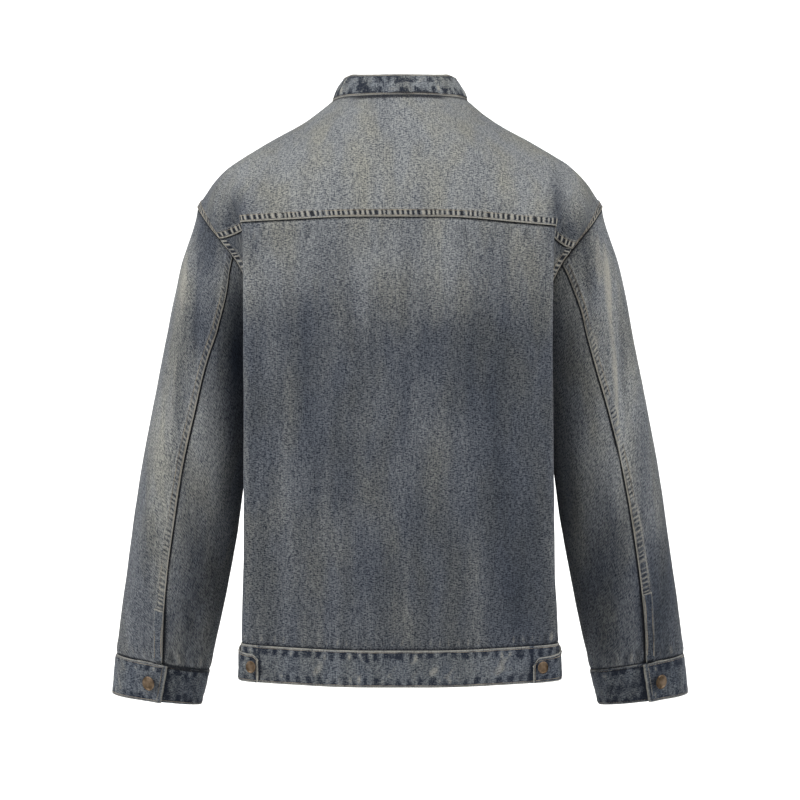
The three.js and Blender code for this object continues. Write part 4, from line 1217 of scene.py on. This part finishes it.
def makeSleeveStrip(side):
    word = sideWords[side]
    print("sleeve strip", word)
    share = np.linspace(cuffs[side]["stripTop"], 0.992, cuff["stripRows"])[:, None]
    edge = sleeveSeamAt("back" + word, share) - 0.4
    turn = edge - cuff["stripWidth"] * np.linspace(0, 1, cuff["stripColumns"])[None, :]
    point, out = sleevePlace(side, turn, share + 0 * turn)
    point = point + out * (pattern["fellRise"] + pattern["seamGap"] + cuff["stripWall"])
    d, t = distancesAlong(point, 1), distancesAlong(point[:, 0])[:, None]
    wave, window = puckers(t, d, 97 + side, 7.5, 1.8, 8)
    height = 0.25 * wave * window
    mark = 0.95 * (1 - smoothstep(d, 0.8, 1.8)) + 0.6 * (1 - smoothstep(d[:, -1:] - d, 0.6, 1.4))
    mark = mark + 0.3 * wave * window - 0.15 + 0.9 * (1 - smoothstep(t, 0.8, 1.8))
    # its folded edge wanders
    point[..., 0] += 0.9 * softNoise(t / 14, 0.5, 96 + side) * np.exp(-d / 6)
    point = point + out * height[..., None]
    name = "sleeveStrip" + word
    for column in (2, -3):
        stitchAlong(name, point[1:-1, column], out[1:-1, column])
    node = "sleeve_placket_" + word.lower()
    makeCloth(
        name, point, out, mark, cuff["stripWall"], 99 + side, node, "denim_bands", cuffs[side]["stripFlat"], "folded",
        0.1, patches=sleeveWashAndShade, washed=cuff["stripWashed"]
    )


# Buttons

button = {
    "diameter": 17, "tabDiameter": 14, "segments": 48, "cuffClearance": 3.0, "tabClearance": 2.2,
    "cuffTurned": 26, "tabTurned": 22, "frontCount": 5, "fromNeck": 34, "fromHem": 46,
}


def makeButton(name, node, diameter, point, out, clearance, turned=0.0):
    out = np.array(Matrix.Rotation(math.radians(turned), 3, "Z") @ Vector(out))
    r = diameter / 2
    profile = [
        (0, -3), (0.42 * r, -3), (0.42 * r, 0.8), (0.55 * r, 1.0), (0.93 * r, 1.1), (0.985 * r, 1.35), (r, 1.8),
        (0.985 * r, 2.25), (0.93 * r, 2.62), (0.86 * r, 2.7), (0.8 * r, 2.6), (0.76 * r, 2.4), (0.7 * r, 2.36),
        (0.4 * r, 2.46), (0.15 * r, 2.5), (0, 2.5),
    ]
    bm = bmesh.new()
    line = [bm.verts.new((x, 0, h)) for x, h in profile]
    edges = [bm.edges.new(pair) for pair in zip(line, line[1:])]
    bmesh.ops.spin(
        bm, geom=line + edges, cent=(0, 0, 0), axis=(0, 0, 1), dvec=(0, 0, 0), angle=2 * math.pi,
        steps=button["segments"], use_merge=True, use_duplicate=False
    )
    bmesh.ops.remove_doubles(bm, verts=bm.verts, dist=1e-4)
    bmesh.ops.recalc_face_normals(bm, faces=bm.faces)
    turn = Vector((0, 0, 1)).rotation_difference(Vector(out)).to_matrix().to_4x4()
    place = Matrix.Translation(Vector((point + out * clearance) * mm)) @ turn @ Matrix.Scale(mm, 4)
    bmesh.ops.transform(bm, matrix=place, verts=bm.verts)
    piece = putInScene(name, finishMesh(name, bm))
    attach(piece, "root")
    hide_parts(node)
    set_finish(piece, "buttons")
    buttons.append(piece)


buttons = []


def makeButtons():
    print("buttons")
    one = lambda v: np.array(float(v))
    for side, word in sideWords.items():
        lift = np.array(pattern["bandWall"] + lapClearance)
        point, out = cuffPlace(side, one(cuffs[side]["button"]), one(0.5), lift)
        makeButton(
            "cuffButton" + word, "cuff_button_" + word.lower(), button["diameter"], point, out,
            button["cuffClearance"], side * button["cuffTurned"]
        )
        point, out = waistbandPlace(one(side * tabs[side]["buttonStep"]), one(0.52), tabLift, 5)
        makeButton(
            "tabButton" + word, "tab_button_" + word.lower(), button["tabDiameter"], point, out,
            button["tabClearance"], side * button["tabTurned"]
        )
    topZ, lowZ = pattern["neckFrontZ"] - button["fromNeck"], float(hemSeamAt(centreStep)) + button["fromHem"]
    for k in range(button["frontCount"]):
        z = one(lerp(topZ, lowZ, k / (button["frontCount"] - 1)))
        point, out = bodyPlace(-stepAtX(z, 0.0), z)
        makeButton(f"frontButton{k + 1}", f"front_button_{k + 1}", button["diameter"], point, out, 2 * lapRise + 0.3)
    point, out = waistbandPlace(one(-centreStep), one(0.5), tabLift + 0.3)
    makeButton("waistbandButton", "waistband_button", button["diameter"], point, out, 0.4)


# Materials

def colour(hexValue):
    parts = [int(hexValue[i:i + 2], 16) / 255 for i in (1, 3, 5)]
    return [*(c / 12.92 if c <= 0.04045 else ((c + 0.055) / 1.055) ** 2.4 for c in parts), 1]


# adds a node with its settings, links or sets its sockets, and gives back one of its outputs
def add(tree, kind, settings, sockets, output=0):
    node = tree.nodes.new("ShaderNode" + kind)
    for key, value in settings.items():
        setattr(node, key, value)
    for key, value in sockets.items():
        if isinstance(value, bpy.types.NodeSocket):
            tree.links.new(value, node.inputs[key])
        else:
            node.inputs[key].default_value = value
    return node.outputs[output] if node.outputs else node


# settings that many nodes share; of a mix, socket 0 is the amount, 6 and 7 the colours and output 2 the result
times, timesPlus, minus = ({"operation": name} for name in ("MULTIPLY", "MULTIPLY_ADD", "SUBTRACT"))
mix = {"data_type": "RGBA", "blend_type": "MIX", "clamp_factor": True}
tint = dict(mix, blend_type="MULTIPLY")
smoothly = {"interpolation_type": "SMOOTHSTEP"}


def newMaterial(name):
    material = bpy.data.materials.new(name)
    material.use_nodes = True
    material.node_tree.nodes.clear()
    return material, material.node_tree


# Washed indigo denim twill: indigo warp over undyed weft, so the face is a salt and pepper of both, paler and
# greyer where it was washed and rubbed, and deep blue in the troughs that the wash didn't reach. The same unfaded
# and deep blues also paint shade and shadows beside seams, laps, the neck and the folds behind the arms, and the
# paler wash is in places painted light. Its real lines are under a millimetre apart and would vanish from a step
# away, so they are drawn two to three times coarser.
denim = {
    "faded": "#939697", "washed": "#575c64", "unfadedAndShade": "#242d3c", "deep": "#121722", "worn": "#c2beb2",
    "fleckSize": 1.6, "twillWidth": 1.35, "twillLength": 3.8, "twillTurn": 38, "slubWidth": 1.5, "slubLength": 9,
    "grime": (1.14, 1.05, 0.82, 1), "light": (1.85, 1.82, 1.76, 1), "dark": (0.2, 0.23, 0.32, 1),
    "fadedWeave": 0.8, "yarnDepth": 0.12, "roughness": 0.93,
    "pleatPitch": 6.0, "pleatDepth": 0.5, "pleatMark": 1.4,
}
bandDenim = dict(denim, faded="#878c90", washed="#4e5560", unfadedAndShade="#1d2535", deep="#192233", worn="#c2bfb4")


# Pleats that the topstitching draws up across a felled band: -1 to 1, and 0 away from such a band.
def seamPleats(tree, values):
    along, away, pleated = (
        add(tree, "Attribute", {"attribute_name": title}, {}, "Fac") for title in ("seamAlong", "seamAway", "pleated")
    )
    drift = {  # by its length in millimetres
        size: add(tree, "TexNoise", {"noise_dimensions": "1D"}, {"Scale": 1 / (size * mm), "Detail": 0.0, "W": along})
        for size in (23, 9, 15)
    }
    phase = add(tree, "Math", times, {0: along, 1: 2 * math.pi / (values["pleatPitch"] * mm)})
    for wander, share in ((drift[23], 6.0), (drift[9], 3.0), (away, 130.0)):
        phase = add(tree, "Math", timesPlus, {0: wander, 1: share, 2: phase})
    wave = add(tree, "Math", {"operation": "SINE"}, {0: phase})
    strength = add(
        tree, "MapRange", {}, {"Value": drift[15], "From Min": 0.3, "From Max": 0.62, "To Min": 0.65, "To Max": 1.25}
    )
    strength = add(tree, "Math", times, {0: strength, 1: pleated})
    begins = add(tree, "MapRange", smoothly, {"Value": away, "From Min": 1.3 * mm, "From Max": 2.7 * mm})
    ends = add(
        tree, "MapRange", smoothly,
        {"Value": away, "From Min": 7.4 * mm, "From Max": 9.4 * mm, "To Min": 1, "To Max": 0}
    )
    wave = add(tree, "Math", times, {0: wave, 1: strength})
    window = add(tree, "Math", times, {0: begins, 1: ends})
    return add(tree, "Math", times, {0: wave, 1: window})


def denimTwill(name, values):
    material, tree = newMaterial(name)
    grain = add(tree, "UVMap", {"uv_map": "clothGrain"}, {})
    place = add(tree, "TexCoord", {}, {}, "Object")
    wearAndShade, washLightAndShade = (add(tree, "Attribute", {"attribute_name": title}, {}, "Fac") for title in ("wearAndShade", "washLightAndShade"))

    # stretched noises: what they lie on, their scale each way, detail and turn
    per = {key: 1 / (values[key] * mm) for key in ("fleckSize", "twillLength", "twillWidth", "slubWidth", "slubLength")}
    noise = {
        "patches": (place, (22, 22, 14), 3.0, 0),
        "streaks": (place, (90, 90, 11), 2.0, 0),
        "dirt": (place, (30, 30, 9), 2.0, 0),
        "fleck": (grain, (per["fleckSize"], per["fleckSize"], 1), 1.0, 0),
        "twill": (grain, (per["twillLength"], per["twillWidth"], 1), 1.0, values["twillTurn"]),
        "slub": (grain, (per["slubWidth"], per["slubLength"], 1), 1.0, 0),
    }
    for title, (vector, scale, detail, turn) in noise.items():
        stretched = add(
            tree, "Mapping", {}, {"Vector": vector, "Rotation": (0, 0, math.radians(turn)), "Scale": scale}
        )
        noise[title] = add(tree, "TexNoise", {}, {"Vector": stretched, "Scale": 1.0, "Detail": detail})

    # the wash, which holds painted shade and painted light in places, with its own uneven patches and soft upright
    # streaks
    amount = washLightAndShade
    for title, share in (("patches", 0.7), ("streaks", 0.55)):
        uneven = add(tree, "Math", minus, {0: noise[title], 1: 0.5})
        amount = add(tree, "Math", timesPlus, {0: uneven, 1: share, 2: amount})
    base = add(tree, "Mix", mix, {0: amount, 6: colour(values["washed"]), 7: colour(values["faded"])}, 2)
    unfadedAndShadeShare = add(tree, "Math", times, {0: amount, 1: -1.0})
    base = add(tree, "Mix", mix, {0: unfadedAndShadeShare, 6: base, 7: colour(values["unfadedAndShade"])}, 2)
    dirty = add(
        tree, "MapRange", {}, {"Value": noise["dirt"], "From Min": 0.42, "From Max": 0.68, "To Min": 0, "To Max": 0.5}
    )
    soiled = add(tree, "Mix", tint, {0: 1.0, 6: base, 7: values["grime"]}, 2)
    base = add(tree, "Mix", mix, {0: dirty, 6: base, 7: soiled}, 2)

    # the weave: weft flecks, short diagonal twill lines and long uneven warp yarns
    weave = add(tree, "Math", times, {0: noise["slub"], 1: 0.35})
    weave = add(tree, "Math", timesPlus, {0: noise["twill"], 1: 0.6, 2: weave})
    weave = add(tree, "Math", timesPlus, {0: noise["fleck"], 1: 0.55, 2: weave})
    weave = add(tree, "MapRange", {}, {"Value": weave, "From Min": 0.6, "From Max": 0.9})
    # the wash evens the weave out where it is palest
    strength = add(tree, "MapRange", {}, {"Value": amount, "To Min": 1, "To Max": values["fadedWeave"]})
    weave = add(tree, "Math", minus, {0: weave, 1: 0.5})
    weave = add(tree, "Math", timesPlus, {0: weave, 1: strength, 2: 0.5})
    light = add(tree, "Mix", tint, {0: 1.0, 6: base, 7: values["light"]}, 2)
    dark = add(tree, "Mix", tint, {0: 1.0, 6: base, 7: values["dark"]}, 2)
    base = add(tree, "Mix", mix, {0: weave, 6: dark, 7: light}, 2)

    # rubbed ridges and edges, and unfaded troughs and painted shadows beside seams, laps and the neck, broken up by the
    # flecks
    pleats = seamPleats(tree, values)
    marks = add(tree, "Math", timesPlus, {0: pleats, 1: values["pleatMark"], 2: wearAndShade})
    size = add(tree, "Math", {"operation": "ABSOLUTE"}, {0: marks})
    size = add(tree, "Math", times, {0: size, 1: 1.6})
    flecked = add(tree, "Math", minus, {0: noise["fleck"], 1: 0.5})
    marks = add(tree, "Math", timesPlus, {0: flecked, 1: size, 2: marks})
    rubbed = add(
        tree, "MapRange", {}, {"Value": marks, "From Min": 0.2, "From Max": 1.1, "To Min": 0, "To Max": 0.85}
    )
    base = add(tree, "Mix", mix, {0: rubbed, 6: base, 7: colour(values["worn"])}, 2)
    troughAndShadow = add(tree, "Math", times, {0: marks, 1: -1.0})
    troughAndShadow = add(
        tree, "MapRange", {}, {"Value": troughAndShadow, "From Min": 0.12, "From Max": 0.85, "To Min": 0, "To Max": 0.92}
    )
    base = add(tree, "Mix", mix, {0: troughAndShadow, 6: base, 7: colour(values["deep"])}, 2)

    height = add(tree, "Math", times, {0: weave, 1: values["yarnDepth"] * mm})
    height = add(tree, "Math", timesPlus, {0: pleats, 1: values["pleatDepth"] * mm, 2: height})
    bump = add(tree, "Bump", {}, {"Strength": 1.0, "Distance": 1.0, "Height": height})
    shader = add(tree, "BsdfPrincipled", {}, {
        "Base Color": base, "Normal": bump, "Roughness": values["roughness"], "Specular IOR Level": 0.25,
        "Sheen Weight": 0.08, "Sheen Roughness": 0.6,
    })
    add(tree, "OutputMaterial", {}, {"Surface": shader})
    return material


# Spun polyester topstitching thread, dyed tan and washed out with the cloth.
threadColours = {"pale": "#b9ae9c", "grimy": "#6b645e", "roughness": 0.8}


def topstitchThread():
    material, tree = newMaterial("washed tan topstitching thread")
    place = add(tree, "TexCoord", {}, {}, "Object")
    patch = add(tree, "TexNoise", {}, {"Vector": place, "Scale": 60.0, "Detail": 3.0})
    amount = add(tree, "MapRange", {}, {"Value": patch, "From Min": 0.4, "From Max": 0.62})
    base = add(
        tree, "Mix", mix, {0: amount, 6: colour(threadColours["pale"]), 7: colour(threadColours["grimy"])}, 2
    )
    shader = add(tree, "BsdfPrincipled", {}, {"Base Color": base, "Roughness": threadColours["roughness"]})
    add(tree, "OutputMaterial", {}, {"Surface": shader})
    return material


# Copper plated brass, stamped, oxidised brown in patches and rubbed bright between them.
copper = {"bright": "#a5907a", "aged": "#574634"}


def agedCopper():
    material, tree = newMaterial("aged copper plated brass")
    place = add(tree, "TexCoord", {}, {}, "Object")
    patch = add(tree, "TexNoise", {}, {"Vector": place, "Scale": 90.0, "Detail": 4.0})
    amount = add(tree, "MapRange", {}, {"Value": patch, "From Min": 0.35, "From Max": 0.65})
    base = add(tree, "Mix", mix, {0: amount, 6: colour(copper["bright"]), 7: colour(copper["aged"])}, 2)
    scratch = add(tree, "TexNoise", {}, {"Vector": place, "Scale": 900.0, "Detail": 2.0})
    rough = add(tree, "MapRange", {}, {"Value": scratch, "To Min": 0.28, "To Max": 0.55})
    bump = add(tree, "Bump", {}, {"Height": scratch, "Strength": 0.25, "Distance": 0.1 * mm})
    shader = add(
        tree, "BsdfPrincipled", {}, {"Base Color": base, "Metallic": 1.0, "Roughness": rough, "Normal": bump}
    )
    add(tree, "OutputMaterial", {}, {"Surface": shader})
    return material


# Matt white paint on the studio's curved backdrop, with a faint mottle.
def mattBackdrop():
    material, tree = newMaterial("matt white painted backdrop")
    place = add(tree, "TexCoord", {}, {}, "Object")
    mottle = add(tree, "TexNoise", {}, {"Vector": place, "Scale": 3.0})
    base = add(tree, "Mix", mix, {0: mottle, 6: colour("#f4f4f2"), 7: colour("#fafafa")}, 2)
    shader = add(tree, "BsdfPrincipled", {}, {"Base Color": base, "Roughness": 0.9})
    add(tree, "OutputMaterial", {}, {"Surface": shader})
    return material


# Making

makeYoke()
makeBack()
leftBand = makeFront(-1)
makeFront(1)
makeFrontBand(leftBand)
makeCollar()
makeBackWaistband()
for side in (-1, 1):
    makeFrontWaistband(side)
    makeSleeve(side)
    makeCuff(side)
    makeSleeveStrip(side)
makeButtons()

print("threads and materials")
panelDenim = denimTwill("washed indigo denim twill", denim)
foldedDenim = denimTwill("washed indigo denim twill, folded bands", bandDenim)
threadMaterial = topstitchThread()
buttonMaterial = agedCopper()
for piece, flat, held in sheets:
    piece.data.materials.append(panelDenim if piece["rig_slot"] == "denim" else foldedDenim)
    if piece.name in threadRows:
        rowsOfStitches = makeThreads(piece)
        rowsOfStitches.data.materials.append(threadMaterial)
for piece in buttons:
    piece.data.materials.append(buttonMaterial)


# Studio

studio = {
    "distance": 3.5, "aimZ": -0.346, "frameWidth": 0.936, "floorZ": -1.45, "wallY": 6.2,
    "leftPower": 38, "rightPower": 28, "topPower": 12, "backdropPower": 150, "worldStrength": 0.19,
}


def makeFloor():
    bm = bmesh.new()
    bmesh.ops.create_grid(bm, x_segments=1, y_segments=24, size=1)
    for v in bm.verts:
        share = (v.co.y + 1) / 2
        v.co.x *= 6
        if share < 0.6:
            v.co.y, v.co.z = lerp(-6, studio["wallY"] - 1.2, share / 0.6), 0
        else:
            angle = min((share - 0.6) / 0.3, 1) * math.pi / 2
            v.co.y = studio["wallY"] - 1.2 + 1.2 * math.sin(angle)
            v.co.z = 1.2 * (1 - math.cos(angle)) + max(share - 0.9, 0) * 22
        v.co.z += studio["floorZ"]
    floor = putInScene("studioFloor", finishMesh("studioFloor", bm))
    floor.data.materials.append(mattBackdrop())


def addLight(name, spot, aim, size, power):
    light = bpy.data.lights.new(name, "AREA")
    light.shape, light.size, light.energy = "DISK", size, power
    holder = putInScene(name, light)
    holder.location = spot
    holder.rotation_euler = (Vector(aim) - Vector(spot)).to_track_quat("-Z", "Y").to_euler()


print("studio")
makeFloor()
aim = (0, 0, -0.35)
addLight("leftSoftbox", (-2.35, -1.25, 0.5), aim, 1.5, studio["leftPower"])
addLight("rightSoftbox", (2.45, -1.05, 0.4), aim, 1.5, studio["rightPower"])
addLight("topSoftbox", (0, -0.9, 1.6), aim, 1.4, studio["topPower"])
addLight("backdropLeft", (-2.6, 2.9, 0.6), (0.4, 6.0, -0.2), 1.2, studio["backdropPower"])
addLight("backdropRight", (2.6, 2.9, 0.6), (-0.4, 6.0, -0.2), 1.2, studio["backdropPower"])

world = bpy.data.worlds.new("studio")
world.use_nodes = True
world.node_tree.nodes["Background"].inputs["Color"].default_value = (1, 1, 1, 1)
world.node_tree.nodes["Background"].inputs["Strength"].default_value = studio["worldStrength"]
bpy.context.scene.world = world
bpy.context.scene.view_settings.view_transform = "Standard"  # colours show as their own hex values

lens = bpy.data.cameras.new("behind")
lens.sensor_width = 36
lens.lens = lens.sensor_width * studio["distance"] / studio["frameWidth"]
lens.clip_end = 50
camera = putInScene("behind", lens)
camera.location = (0, -studio["distance"], studio["aimZ"])
camera.rotation_euler = (math.pi / 2, 0, 0)
bpy.context.scene.camera = camera
